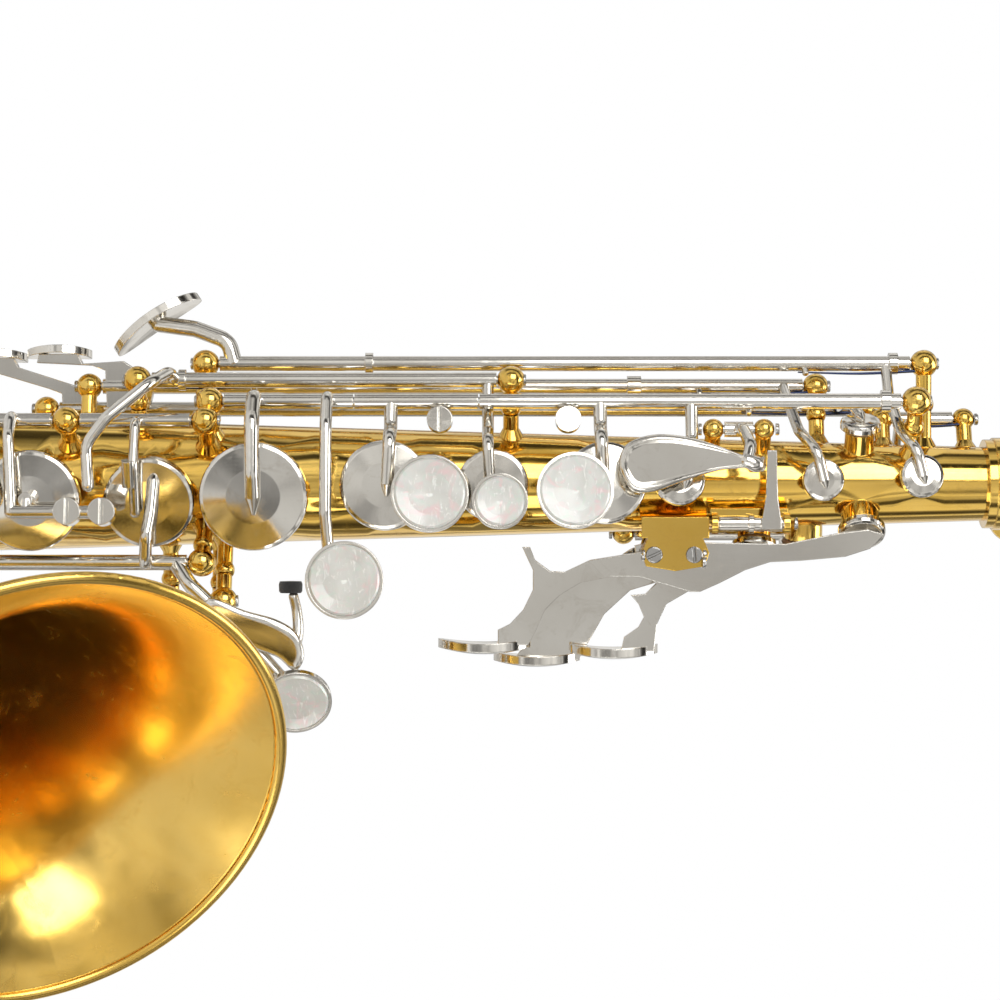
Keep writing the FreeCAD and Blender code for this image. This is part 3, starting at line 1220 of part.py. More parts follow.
def main():
    os.makedirs("parts", exist_ok=True)
    for name, make in nodes().items():
        shape = make().copy()
        shape.translate(ROW_SHIFT)
        shape.exportStep("parts/" + name + ".step")
        print(name, len(shape.Solids), round(shape.Volume, 1), shape.isValid(), flush=True)


if __name__ == "__main__":
    main()
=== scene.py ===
"""Looks of a curved soprano saxophone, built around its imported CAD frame.

Added pieces are drawn in the horn's own frame, in millimetres: the body tube lies on the Z axis, -Y is
the front that the finger pearls face, +X is the player's left and Z = 0 is level with the bis pearl.
Keys are drawn with their pads closed, and those that stand open are turned back as their joints say.
"""

import json
import math

import bmesh
import bpy
from mathutils import Matrix, Vector


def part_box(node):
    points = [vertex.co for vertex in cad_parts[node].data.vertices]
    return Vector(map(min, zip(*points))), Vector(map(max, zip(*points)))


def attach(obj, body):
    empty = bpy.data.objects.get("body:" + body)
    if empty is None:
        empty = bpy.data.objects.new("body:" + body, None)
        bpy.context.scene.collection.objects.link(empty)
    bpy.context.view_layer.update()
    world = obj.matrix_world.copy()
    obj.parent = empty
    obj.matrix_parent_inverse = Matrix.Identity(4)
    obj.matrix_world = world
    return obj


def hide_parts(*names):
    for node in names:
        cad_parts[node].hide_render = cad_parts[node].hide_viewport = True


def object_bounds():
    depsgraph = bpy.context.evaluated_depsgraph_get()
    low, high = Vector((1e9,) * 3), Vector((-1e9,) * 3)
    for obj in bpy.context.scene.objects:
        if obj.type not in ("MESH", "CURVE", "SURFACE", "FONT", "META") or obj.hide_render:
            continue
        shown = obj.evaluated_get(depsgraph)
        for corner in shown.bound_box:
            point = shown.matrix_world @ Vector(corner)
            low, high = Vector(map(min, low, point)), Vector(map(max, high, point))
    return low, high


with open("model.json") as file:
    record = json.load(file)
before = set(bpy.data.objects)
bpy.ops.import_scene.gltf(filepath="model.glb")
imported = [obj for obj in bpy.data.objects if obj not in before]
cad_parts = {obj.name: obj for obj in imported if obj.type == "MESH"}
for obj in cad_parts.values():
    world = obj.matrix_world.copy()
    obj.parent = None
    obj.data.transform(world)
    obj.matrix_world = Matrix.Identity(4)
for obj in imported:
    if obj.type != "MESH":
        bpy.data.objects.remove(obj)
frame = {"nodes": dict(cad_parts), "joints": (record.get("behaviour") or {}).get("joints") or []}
cad_low, cad_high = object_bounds()

MM = 0.001
UP = Vector((0.0, 0.0, 1.0))
FRONT = Vector((0.0, -1.0, 0.0))
HORN = "horn"

# the horn's own frame, from the neck receiver: its round part is centred on the tube
RECEIVER_TOP = 127.0
receiver_low, receiver_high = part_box("neck_receiver")
receiver_radius = (receiver_high.x - receiver_low.x) / 2.0
ORIGIN = Vector((receiver_low.x + receiver_radius, receiver_low.y + receiver_radius,
                 receiver_high.z - RECEIVER_TOP * MM))
TO_ROW = Matrix.Translation(ORIGIN) @ Matrix.Scale(MM, 4)
JOINTS = {joint["child"]: joint for joint in frame["joints"]}

# ---- sizes shared with the design ---------------------------------------------------------------
RADIUS_AT_ZERO = 11.8
TAPER = 0.0302
BODY_BOTTOM = -197.0
BOW_RADIUS = 38.0
BOW_HEADING = 33.0
LOW_CHIMNEY = 3.6
PAD_GAP = 0.1
CUP_WALL = 0.7
PAD_PROUD = 0.8
TALL_CUP = 3.0
FLAT_CUP = 2.0
SMALL_CUP = 7.0
ROD_PAST_POST = 1.6
BALL_RADIUS = 3.2
# cups on the body tube: height, direction from the front in degrees, cup radius, chimney height
CUPS = {
    "side_e": (95.0, -7.0, 4.9, 3.2),
    "side_c": (72.7, -3.0, 4.7, 3.2),
    "side_bb": (82.0, -64.0, 4.6, 4.0),
    "palm_f": (82.0, 50.0, 5.4, 3.2),
    "palm_eb": (58.0, 72.0, 5.0, 3.0),
    "palm_d": (70.0, 104.0, 5.6, 3.0),
    "c_vent": (40.2, -1.0, 5.7, 3.2),
    "b": (23.5, 1.0, 9.2, 3.4),
    "bis": (-1.6, 5.0, 8.0, 3.4),
    "a": (-25.7, 3.5, 10.0, 3.4),
    "g": (-54.8, 11.0, 12.1, 3.2),
    "gsharp": (-78.3, 12.0, 10.2, 3.4),
    "fsharp": (-104.3, 12.0, 11.2, 3.4),
    "f": (-130.0, 12.0, 11.4, 3.4),
    "e": (-156.0, 12.0, 11.8, 3.4),
    "d": (-183.0, 12.0, 11.8, 3.4),
    "low_eb": (-176.0, -112.0, 10.0, 3.4),
    "octave_vent": (99.0, -140.0, 2.6, 3.0),
}
STANDS_OPEN = ("g", "a", "b", "bis", "fsharp", "f", "e", "d", "low_c", "low_b", "low_bb")
OWN_PAD_NODES = ("g", "a", "b", "bis", "fsharp", "f", "e", "d")


def vec(x, y, z=0.0):
    return Vector((x, y, z))


def outward(degrees):
    a = math.radians(degrees)
    return vec(math.sin(a), -math.cos(a))


def tube_radius(z):
    return RADIUS_AT_ZERO - TAPER * z


HEADING = outward(BOW_HEADING)
ACROSS = outward(BOW_HEADING + 90.0)
BOW_START_RADIUS = tube_radius(BODY_BOTTOM)
BELL_FOOT = HEADING * (2.0 * BOW_RADIUS) + UP * BODY_BOTTOM
BELL_FOOT_RADIUS = BOW_START_RADIUS + TAPER * math.pi * BOW_RADIUS


def bow_hole(turn, side):
    a = math.radians(turn)
    centre = HEADING * (BOW_RADIUS * (1.0 - math.cos(a)))
    centre += UP * (BODY_BOTTOM - BOW_RADIUS * math.sin(a))
    return centre + side * (BOW_START_RADIUS + TAPER * BOW_RADIUS * a + LOW_CHIMNEY), side


def bell_hole(distance):
    reach = BELL_FOOT_RADIUS + TAPER * distance + LOW_CHIMNEY
    return BELL_FOOT + UP * distance + ACROSS * reach, ACROSS


LOW_CUPS = {
    "low_c": (bow_hole(50.0, -ACROSS), 13.0),
    "low_csharp": (bow_hole(134.0, ACROSS), 12.6),
    "low_b": (bell_hole(14.0), 14.0),
    "low_bb": (bell_hole(45.0), 14.0),
}


def rim_of(name):
    """Rim centre and direction of a tone hole, and the radius of the cup over it."""
    if name in LOW_CUPS:
        (rim, direction), radius = LOW_CUPS[name]
        return rim, direction, radius
    z, degrees, radius, height = CUPS[name]
    direction = outward(degrees)
    return direction * (tube_radius(z) + height) + UP * z, direction, radius


def cup_height(radius):
    return TALL_CUP if radius >= SMALL_CUP else FLAT_CUP


def body_of(name):
    return {"c_vent": "b_key"}.get(name, name + "_key")


def facing(origin, direction, hint=UP):
    """Frame with its Z along direction and its X as near hint as it can be."""
    z = direction.normalized()
    x = hint - z * hint.dot(z)
    if x.length < 1e-5:
        x = vec(1.0, 0.0) - z * z.x
    x.normalize()
    y = z.cross(x)
    return Matrix(((x.x, y.x, z.x, origin.x), (x.y, y.y, z.y, origin.y),
                   (x.z, y.z, z.z, origin.z), (0.0, 0.0, 0.0, 1.0)))


def turned_back(body):
    """The turn, in the horn's frame, from a key's drawn pose to where it stands at rest."""
    joint = JOINTS[body]
    pivot = (Vector(joint["pos_m"]) - ORIGIN) / MM
    turn = Matrix.Rotation(-math.radians(joint["range_deg"][1]), 4, Vector(joint["axis"]))
    return Matrix.Translation(pivot) @ turn @ Matrix.Translation(-pivot)


def hinge_line(body, z=0.0):
    pivot = (Vector(JOINTS[body]["pos_m"]) - ORIGIN) / MM
    return vec(pivot.x, pivot.y, z)


# ---- building meshes ----------------------------------------------------------------------------
class Form:
    """Points and faces of one piece, with a look number for each face."""

    def __init__(self):
        self.points, self.faces, self.looks = [], [], []

    def add(self, shape, place=Matrix(), look=0):
        points, faces = shape
        start = len(self.points)
        self.points += [place @ Vector(p) for p in points]
        self.faces += [[start + i for i in face] for face in faces]
        self.looks += [look] * len(faces)
        return self


def strips(rings, closed=False):
    """Points and quads that join rings of equal size; a ring of one point closes an end."""
    points, faces, starts = [], [], []
    for ring in rings:
        starts.append(len(points))
        points += ring
    pairs = list(zip(range(len(rings)), range(1, len(rings))))
    if closed:
        pairs.append((len(rings) - 1, 0))
    for a, b in pairs:
        na, nb = len(rings[a]), len(rings[b])
        count = max(na, nb)
        for i in range(count):
            j = (i + 1) % count
            if na == 1 and nb > 1:
                faces.append([starts[a], starts[b] + j, starts[b] + i])
            elif nb == 1 and na > 1:
                faces.append([starts[a] + i, starts[a] + j, starts[b]])
            elif na > 1:
                faces.append([starts[a] + i, starts[a] + j, starts[b] + j, starts[b] + i])
    return points, faces


def lathe_rings(profile, segments):
    rings = []
    for radius, height in profile:
        if radius < 1e-6:
            rings.append([vec(0.0, 0.0, height)])
        else:
            rings.append([vec(radius * math.cos(2 * math.pi * i / segments),
                              radius * math.sin(2 * math.pi * i / segments), height)
                          for i in range(segments)])
    return rings


def lathe(profile, segments=48):
    """Turned shape about Z from (radius, height) points."""
    return strips(lathe_rings(profile, segments))


def smooth_path(points, steps):
    """Catmull-Rom curve through the points."""
    points = [Vector(p) for p in points]
    ends = [points[0] * 2.0 - points[1]] + points + [points[-1] * 2.0 - points[-2]]
    path = []
    for a, b, c, d in zip(ends, ends[1:], ends[2:], ends[3:]):
        for i in range(steps):
            t = i / steps
            path.append(0.5 * (2.0 * b + (c - a) * t + (2.0 * a - 5.0 * b + 4.0 * c - d) * t ** 2
                               + (3.0 * b - a - 3.0 * c + d) * t ** 3))
    return path + [points[-1]]


def sweep(points, radii, hint=UP, flat=1.0, steps=6, segments=16):
    """Bar with rounded ends along a smooth path: radii at the given points, flat squeezes it along
    its second axis."""
    path = smooth_path(points, steps) if steps > 1 else [Vector(p) for p in points]
    last = len(points) - 1
    rings = []
    side = None
    for n, centre in enumerate(path):
        share = n / (len(path) - 1) * last
        i = min(int(share), last - 1)
        radius = radii[i] + (radii[i + 1] - radii[i]) * (share - i)
        ahead = path[min(n + 1, len(path) - 1)] - path[max(n - 1, 0)]
        ahead.normalize()
        start = side if side else (hint if abs(hint.dot(ahead)) < 0.95 else vec(1.0, 0.2, 0.1))
        side = (start - ahead * start.dot(ahead)).normalized()
        other = ahead.cross(side)
        ring = [centre + side * (radius * math.cos(2 * math.pi * k / segments))
                + other * (radius * flat * math.sin(2 * math.pi * k / segments)) for k in range(segments)]
        if n == 0:
            rings += end_rings(ring, centre, -ahead, radius, flat)[::-1]
        rings.append(ring)
        if n == len(path) - 1:
            rings += end_rings(ring, centre, ahead, radius, flat)
    return strips(rings)


def end_rings(ring, centre, ahead, radius, flat):
    bulge = radius * min(flat, 1.0)
    made = []
    for turn in (30.0, 60.0):
        a = math.radians(turn)
        made.append([centre + (p - centre) * math.cos(a) + ahead * (bulge * math.sin(a)) for p in ring])
    return made + [[centre + ahead * bulge]]


def half_disc(radius, gap, count=16):
    start = math.asin(gap / radius)
    return [(radius * math.cos(start + (math.pi - 2 * start) * i / count),
             radius * math.sin(start + (math.pi - 2 * start) * i / count)) for i in range(count + 1)]


def slotted_head(radius, height, turn=0.0):
    """Screw head with a real slot, standing on Z = 0."""
    gap = max(0.16 * radius, 0.22)
    chamfer = 0.12 * radius
    form = Form()
    floor = 0.45 * height
    form.add(lathe([(0, 0), (radius - 0.02, 0), (radius - 0.02, floor), (0, floor)], 32))
    for half in (0.0, math.pi):
        rings = []
        for r, z in ((radius, 0.0), (radius, height - chamfer), (radius - chamfer, height)):
            rings.append([vec(x, max(y, gap), z) for x, y in half_disc(r, gap)])
        points, faces = strips(rings)
        count = len(rings[0])
        faces.append(list(range(2 * count, 3 * count)))
        form.add((points, faces), Matrix.Rotation(half + math.radians(turn), 4, "Z"))
    return form.points, form.faces


def piece(name, form, looks, body, subdivide=0, bevel=0.0, drawn_closed=True):
    """Makes the object, puts it where its key stands at rest and lets it ride on the body."""
    place = TO_ROW
    if drawn_closed and body.removesuffix("_key") in STANDS_OPEN:
        place = TO_ROW @ turned_back(body)
    mesh = bpy.data.meshes.new(name)
    mesh.from_pydata([place @ p for p in form.points], [], form.faces)
    for look in looks:
        mesh.materials.append(look)
    for polygon, look in zip(mesh.polygons, form.looks):
        polygon.material_index = look
        polygon.use_smooth = True
    bm = bmesh.new()
    bm.from_mesh(mesh)
    bmesh.ops.remove_doubles(bm, verts=bm.verts, dist=1e-7)
    bmesh.ops.recalc_face_normals(bm, faces=bm.faces)
    bm.to_mesh(mesh)
    bm.free()
    obj = bpy.data.objects.new(name, mesh)
    bpy.context.scene.collection.objects.link(obj)
    if bevel:
        edge = obj.modifiers.new("edge", "BEVEL")
        edge.width = bevel * MM
        edge.segments = 3
        edge.limit_method = "ANGLE"
        edge.angle_limit = math.radians(35.0)
    if subdivide:
        soft = obj.modifiers.new("soft", "SUBSURF")
        soft.levels = soft.render_levels = subdivide
    else:
        mesh.set_sharp_from_angle(angle=math.radians(38.0))
    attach(obj, body)
    return obj


# ---- materials ----------------------------------------------------------------------------------
class Nodes:
    """A node tree with short ways to add to it; place is the coordinate its textures use."""

    def __init__(self, tree, coordinate):
        self.tree = tree
        self.place = tree.nodes.new("ShaderNodeTexCoord").outputs[coordinate]

    def node(self, kind, inputs, **settings):
        made = self.tree.nodes.new(kind)
        for key, value in settings.items():
            setattr(made, key, value)
        for key, value in inputs.items():
            self.put(made.inputs[key], value)
        return made

    def put(self, socket, value):
        if isinstance(value, bpy.types.NodeSocket):
            self.tree.links.new(value, socket)
        else:
            socket.default_value = value

    def stretched(self, scale, turn=(0.0, 0.0, 0.0)):
        return self.node("ShaderNodeMapping", {"Vector": self.place, "Scale": scale, "Rotation": turn}
                         ).outputs["Vector"]

    def noise(self, scale, detail=3.0, rough=0.55, distortion=0.0, place=None):
        return self.node("ShaderNodeTexNoise", {
            "Vector": place or self.place, "Scale": scale, "Detail": detail, "Roughness": rough,
            "Distortion": distortion}).outputs["Fac"]

    def ranged(self, value, low, high, to_low, to_high):
        return self.node("ShaderNodeMapRange", {
            "Value": value, "From Min": low, "From Max": high, "To Min": to_low, "To Max": to_high}
        ).outputs["Result"]

    def mix(self, share, a, b, blend="MIX"):
        made = self.node("ShaderNodeMix", {0: share, 6: a, 7: b}, data_type="RGBA", blend_type=blend)
        return made.outputs[2]

    def math(self, operation, a, b):
        return self.node("ShaderNodeMath", {0: a, 1: b}, operation=operation).outputs[0]

    def bump(self, height, strength, distance, normal=None):
        inputs = {"Height": height, "Strength": strength, "Distance": distance * MM}
        if normal:
            inputs["Normal"] = normal
        return self.node("ShaderNodeBump", inputs).outputs["Normal"]

    def stops(self, value, places):
        """Grey ramp through (place, brightness) points."""
        made = self.node("ShaderNodeValToRGB", {"Fac": value})
        elements = made.color_ramp.elements
        elements.remove(elements[1])
        for n, (place, bright) in enumerate(places):
            element = elements[0] if n == 0 else elements.new(place)
            element.position = place
            element.color = (bright, bright, bright, 1.0)
        return made.outputs["Color"]


class Look(Nodes):
    """A material with a Principled shader."""

    def __init__(self, name):
        self.material = bpy.data.materials.new(name)
        self.material.use_nodes = True
        super().__init__(self.material.node_tree, "Object")
        self.shader = self.tree.nodes["Principled BSDF"]

    def finish(self, **inputs):
        for key, value in inputs.items():
            self.put(self.shader.inputs[key.replace("_", " ")], value)
        return self.material


def rgb(red, green, blue):
    return (red, green, blue, 1.0)


EDGE_ROUNDING = 0.35


def plated_metal(name, bright, deep, rough, coat=0.0, worn=None):
    """Polished metal: tone drifts, handling marks dull it in patches, fine polishing lines cross it."""
    look = Look(name)
    drift = look.ranged(look.noise(38.0, 4.0), 0.35, 0.68, 0.0, 1.0)
    tone = look.mix(drift, bright, deep)
    marks = look.ranged(look.noise(150.0, 6.0, 0.7, 0.8), 0.52, 0.74, 0.0, 1.0)
    if worn:
        tone = look.mix(look.math("MULTIPLY", marks, 0.45), tone, worn)
    lines = look.noise(1.0, 2.0, 0.6, 0.0, look.stretched((5200.0, 5200.0, 160.0), (0.35, 0.2, 0.5)))
    cross = look.noise(1.0, 2.0, 0.6, 0.0, look.stretched((180.0, 4800.0, 5200.0), (0.8, 0.4, 0.1)))
    scratch = look.math("ADD", lines, cross)
    orange_peel = look.noise(620.0, 2.0, 0.4)
    rounded = look.node("ShaderNodeBevel", {"Radius": EDGE_ROUNDING * MM}, samples=4).outputs["Normal"]
    normal = look.bump(scratch, 0.06, 0.006, rounded)
    normal = look.bump(orange_peel, 0.10, 0.010, normal)
    gloss = look.math("ADD", look.ranged(marks, 0.0, 1.0, rough, rough + 0.13),
                      look.ranged(scratch, 0.7, 1.4, -0.015, 0.03))
    return look.finish(Base_Color=tone, Metallic=1.0, Roughness=gloss, Normal=normal,
                       Coat_Weight=coat, Coat_Roughness=0.06, Coat_IOR=1.5)


def pearl_look():
    look = Look("mother_of_pearl")
    wander = look.noise(85.0, 3.0, 0.5, 1.6)
    veins = look.noise(1.0, 4.0, 0.6, 2.2, look.stretched((210.0, 120.0, 560.0), (0.4, 0.1, 0.9)))
    pink = look.ranged(look.noise(150.0, 2.0, 0.5, 2.6), 0.54, 0.72, 0.0, 0.75)
    turned = look.stretched((1.0, 1.4, 1.0), (1.2, 0.7, 0.2))
    green = look.ranged(look.noise(175.0, 2.0, 0.5, 2.9, turned), 0.56, 0.74, 0.0, 0.55)
    base = look.mix(look.ranged(wander, 0.3, 0.7, 0.0, 1.0),
                    rgb(0.74, 0.735, 0.70), rgb(0.60, 0.60, 0.56))
    base = look.mix(pink, base, rgb(0.80, 0.57, 0.57))
    base = look.mix(green, base, rgb(0.58, 0.70, 0.60))
    base = look.mix(look.ranged(veins, 0.56, 0.72, 0.0, 0.7), base, rgb(0.93, 0.92, 0.89))
    normal = look.bump(veins, 0.12, 0.02)
    return look.finish(Base_Color=base, Roughness=look.ranged(veins, 0.3, 0.7, 0.16, 0.30),
                       Normal=normal, Subsurface_Weight=0.12, Subsurface_Scale=0.0012, Coat_Weight=0.7,
                       Coat_Roughness=0.04, IOR=1.56)


def leather_look():
    look = Look("pad_leather")
    cells = look.node("ShaderNodeTexVoronoi", {"Vector": look.place, "Scale": 1500.0},
                      feature="DISTANCE_TO_EDGE").outputs["Distance"]
    patch = look.noise(210.0, 4.0)
    tone = look.mix(look.ranged(patch, 0.35, 0.7, 0.0, 1.0),
                    rgb(0.42, 0.23, 0.11), rgb(0.25, 0.12, 0.05))
    tone = look.mix(look.ranged(cells, 0.0, 0.10, 0.6, 0.0), tone, rgb(0.10, 0.045, 0.02))
    normal = look.bump(look.ranged(cells, 0.0, 0.2, 0.0, 1.0), 0.35, 0.05)
    return look.finish(Base_Color=tone, Roughness=look.ranged(patch, 0.3, 0.7, 0.48, 0.66),
                       Normal=normal, Sheen_Weight=0.15, Sheen_Roughness=0.5)


def cork_look():
    look = Look("cork")
    cells = look.node("ShaderNodeTexVoronoi",
                      {"Vector": look.place, "Scale": 1150.0, "Randomness": 1.0}).outputs["Distance"]
    grain = look.noise(420.0, 5.0, 0.7)
    pits = look.ranged(look.noise(640.0, 3.0, 0.6, 0.8), 0.60, 0.70, 0.0, 1.0)
    tone = look.mix(look.ranged(grain, 0.3, 0.7, 0.0, 1.0),
                    rgb(0.52, 0.30, 0.13), rgb(0.35, 0.17, 0.06))
    tone = look.mix(pits, tone, rgb(0.12, 0.05, 0.018))
    tone = look.mix(look.ranged(cells, 0.3, 0.9, 0.0, 0.35), tone, rgb(0.62, 0.40, 0.20))
    normal = look.bump(grain, 0.4, 0.06)
    normal = look.bump(pits, 0.6, -0.08, normal)
    return look.finish(Base_Color=tone, Roughness=look.ranged(grain, 0.3, 0.7, 0.7, 0.9), Normal=normal,
                       Sheen_Weight=0.1)


def felt_look():
    look = Look("black_felt")
    fibres = look.noise(2600.0, 4.0, 0.7, 1.5)
    tone = look.mix(look.ranged(fibres, 0.3, 0.7, 0.0, 1.0),
                    rgb(0.006, 0.006, 0.007), rgb(0.03, 0.03, 0.033))
    return look.finish(Base_Color=tone, Roughness=look.ranged(fibres, 0.3, 0.7, 0.88, 1.0),
                       Normal=look.bump(fibres, 0.8, 0.09), Sheen_Weight=0.35, Sheen_Roughness=0.6)


def ebonite_look():
    look = Look("ebonite")
    haze = look.noise(130.0, 4.0, 0.6)
    turned = look.noise(1.0, 2.0, 0.5, 0.0, look.stretched((240.0, 3200.0, 900.0), (0.26, 0.0, 0.0)))
    tone = look.mix(look.ranged(haze, 0.4, 0.75, 0.0, 0.8),
                    rgb(0.009, 0.009, 0.010), rgb(0.022, 0.020, 0.017))
    rough = look.math("ADD", look.ranged(haze, 0.35, 0.7, 0.16, 0.30),
                      look.ranged(turned, 0.3, 0.7, 0.0, 0.05))
    return look.finish(Base_Color=tone, Roughness=rough, Normal=look.bump(turned, 0.12, 0.01),
                       Coat_Weight=0.25, Coat_Roughness=0.2)


def cane_look():
    look = Look("cane")
    fibres = look.noise(1.0, 4.0, 0.65, 0.3, look.stretched((3400.0, 160.0, 1500.0), (0.26, 0.0, 0.0)))
    patch = look.noise(160.0, 3.0)
    tone = look.mix(look.ranged(fibres, 0.32, 0.68, 0.0, 1.0),
                    rgb(0.74, 0.53, 0.25), rgb(0.52, 0.32, 0.11))
    tone = look.mix(look.ranged(patch, 0.45, 0.75, 0.0, 0.5), tone, rgb(0.80, 0.63, 0.36))
    return look.finish(Base_Color=tone, Roughness=look.ranged(fibres, 0.3, 0.7, 0.42, 0.62),
                       Normal=look.bump(fibres, 0.3, 0.03))


GOLD = plated_metal("gold_lacquer", rgb(0.90, 0.60, 0.135), rgb(0.82, 0.50, 0.075), 0.085, 0.6,
                    rgb(0.62, 0.36, 0.07))
BELL_GOLD = plated_metal("gold_lacquer_bell", rgb(0.91, 0.61, 0.155), rgb(0.84, 0.52, 0.095), 0.19,
                         0.35, rgb(0.70, 0.42, 0.08))
NICKEL = plated_metal("nickel_plate", rgb(0.80, 0.77, 0.71), rgb(0.70, 0.665, 0.60), 0.075, 0.0,
                      rgb(0.55, 0.50, 0.42))
STEEL = plated_metal("steel", rgb(0.60, 0.59, 0.57), rgb(0.44, 0.43, 0.41), 0.17, 0.0,
                     rgb(0.30, 0.27, 0.24))
BLUED = plated_metal("blued_steel", rgb(0.05, 0.07, 0.15), rgb(0.03, 0.035, 0.07), 0.22, 0.0,
                     rgb(0.06, 0.04, 0.03))
RESONATOR = plated_metal("resonator_brass", rgb(0.72, 0.52, 0.22), rgb(0.60, 0.41, 0.15), 0.20, 0.0,
                         rgb(0.40, 0.26, 0.10))
PEARL = pearl_look()
LEATHER = leather_look()
CORK = cork_look()
FELT = felt_look()
EBONITE = ebonite_look()
CANE = cane_look()
SLOT_LOOKS = {
    "gold_lacquer": GOLD, "nickel": NICKEL, "steel": STEEL, "cork": CORK, "ebonite": EBONITE,
    "cane": CANE, "pearl": PEARL, "pad_leather": LEATHER,
}


def dress_cad_nodes():
    """Gives every CAD node the look of its material slot."""
    for name, obj in frame["nodes"].items():
        slot = node_slot(name, obj)
        obj.data.materials.clear()
        obj.data.materials.append(BELL_GOLD if name == "bell" else SLOT_LOOKS[slot])


def node_slot(name, obj):
    for material in obj.data.materials:
        for slot in SLOT_LOOKS:
            if material and material.name.startswith(slot):
                return slot
    raise ValueError(name + " has no material slot")


dress_cad_nodes()


# ---- pads ---------------------------------------------------------------------------------------
def pad_form(form, name):
    """Leather pad with the ring its tone hole has pressed into it, and a domed resonator."""
    rim, direction, radius = rim_of(name)
    place = facing(rim, direction)
    edge = radius - CUP_WALL - 0.05
    top = PAD_GAP + PAD_PROUD + cup_height(radius) - 0.9
    seat = radius - (1.5 if radius >= SMALL_CUP else 1.2) - 0.4
    profile = [(0.0, top), (edge, top), (edge, 0.9), (edge - 0.12, 0.42), (edge - 0.45, 0.16),
               (seat + 0.5, PAD_GAP + 0.02), (seat + 0.2, 0.26), (seat - 0.2, 0.26),
               (seat - 0.5, PAD_GAP + 0.02), (0.5 * seat, PAD_GAP), (0.0, PAD_GAP)]
    form.add(lathe(profile), place, 0)
    if radius > 4.0:
        dome = 0.52 * seat
        form.add(lathe([(0.0, -0.75), (0.16 * dome, -0.72), (0.2 * dome, -0.5), (0.55 * dome, -0.42),
                        (0.9 * dome, -0.15), (dome, 0.06), (dome, 0.2), (0.0, 0.2)]), place, 1)


def add_pads():
    for name in list(CUPS) + list(LOW_CUPS):
        if name == "c_vent":
            continue
        form = Form()
        pad_form(form, name)
        if name == "b":
            pad_form(form, "c_vent")
        pad = piece("pad_" + name, form, [LEATHER, RESONATOR], body_of(name))
        if name in OWN_PAD_NODES:
            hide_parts(name + "_pad")


# ---- posts: pivot screws and needle springs -----------------------------------------------------
def rod_spans():
    """Place and end heights of each upright hinge rod, read from the rods' own mesh."""
    spans = []
    for vertex in frame["nodes"]["hinge_rods"].data.vertices:
        p = (vertex.co - ORIGIN) / MM
        for span in spans:
            if abs(span[0][0] - p.x) < 2.1 and abs(span[1][0] - p.y) < 2.1:
                for axis, value in zip(span, p):
                    axis.append(value)
                break
        else:
            spans.append([[p.x], [p.y], [p.z]])
    uprights = [span for span in spans if max(span[2]) - min(span[2]) > 10.0]
    return [((min(s[0]) + max(s[0])) / 2.0, (min(s[1]) + max(s[1])) / 2.0, min(s[2]), max(s[2]))
            for s in uprights]


def add_pivot_screws():
    """Slotted screw ends that show on the outer side of each end post."""
    form = Form()
    for n, (x, y, low, high) in enumerate(rod_spans()):
        for z, direction in ((low + ROD_PAST_POST, -UP), (high - ROD_PAST_POST, UP)):
            head = slotted_head(1.35, 0.75, 40.0 * n)
            form.add(head, facing(vec(x, y, z) + direction * (BALL_RADIUS - 0.55), direction))
    piece("pivot_screws", form, [STEEL], HORN)


# key: height of the post that holds its spring, height of the stud on the key, side of the rod
SPRINGS = {
    "g_key": (-65.3, -41.5, 1.0),
    "b_key": (93.7, 64.0, 1.0),
    "bis_key": (-82.2, -56.0, 1.0),
    "gsharp_key": (-118.3, -93.0, -1.0),
    "trill_key": (-97.0, -74.0, 1.0),
    "fsharp_key": (-119.5, -102.5, 1.0),
    "f_key": (-143.5, -125.0, 1.0),
    "e_key": (-168.5, -149.0, 1.0),
    "d_key": (-197.0, -174.0, 1.0),
    "side_e_key": (97.3, 70.0, -1.0),
    "side_c_key": (73.0, 46.0, -1.0),
    "side_bb_key": (84.5, 58.0, -1.0),
    "octave_vent_key": (107.4, 94.0, -1.0),
    "low_eb_key": (-163.0, -186.0, 1.0),
    "low_c_key": (-236.0, -212.0, 1.0),
    "low_csharp_key": (-209.0, -178.0, -1.0),
    "low_b_key": (-199.0, -170.0, -1.0),
    "low_bb_key": (-173.0, -146.0, -1.0),
    "octave_thumb_lever": (29.0, 41.0, -1.0),
}


def add_needle_springs():
    """Blued needle from a post to a small stud on the key's hinge tube."""
    for body, (post_z, stud_z, side) in SPRINGS.items():
        line = hinge_line(body)
        inward = -vec(line.x, line.y).normalized()
        beside = UP.cross(inward) * side
        offset = inward * 2.0 + beside * 1.4
        away = 1.0 if stud_z > post_z else -1.0
        start = line + UP * post_z + offset * 0.8
        end = line + UP * (stud_z + away * 1.6) + offset
        middle = (start + end) / 2.0 + inward * 0.5
        form = Form().add(sweep([start, middle, end], [0.36, 0.3, 0.17], steps=5, segments=10))
        piece("needle_spring_" + body.removesuffix("_key"), form, [BLUED], HORN)
        stud_way = (offset * 1.0).normalized()
        stud = Form().add(lathe([(0.0, 1.2), (0.75, 1.2), (0.75, 2.9), (0.55, 3.15), (0.0, 3.2)], 20),
                          facing(line + UP * stud_z, stud_way))
        piece("spring_stud_" + body.removesuffix("_key"), stud, [NICKEL], body)


# ---- touches, levers, felts and corks -----------------------------------------------------------
def closed_path(points, steps):
    """Closed Catmull-Rom curve through flat points."""
    count = len(points)
    path = []
    for n in range(count):
        a, b, c, d = (Vector(points[(n + k) % count]) for k in (-1, 0, 1, 2))
        for i in range(steps):
            t = i / steps
            path.append(0.5 * (2.0 * b + (c - a) * t + (2.0 * a - 5.0 * b + 4.0 * c - d) * t ** 2
                               + (3.0 * b - a - 3.0 * c + d) * t ** 3))
    return path


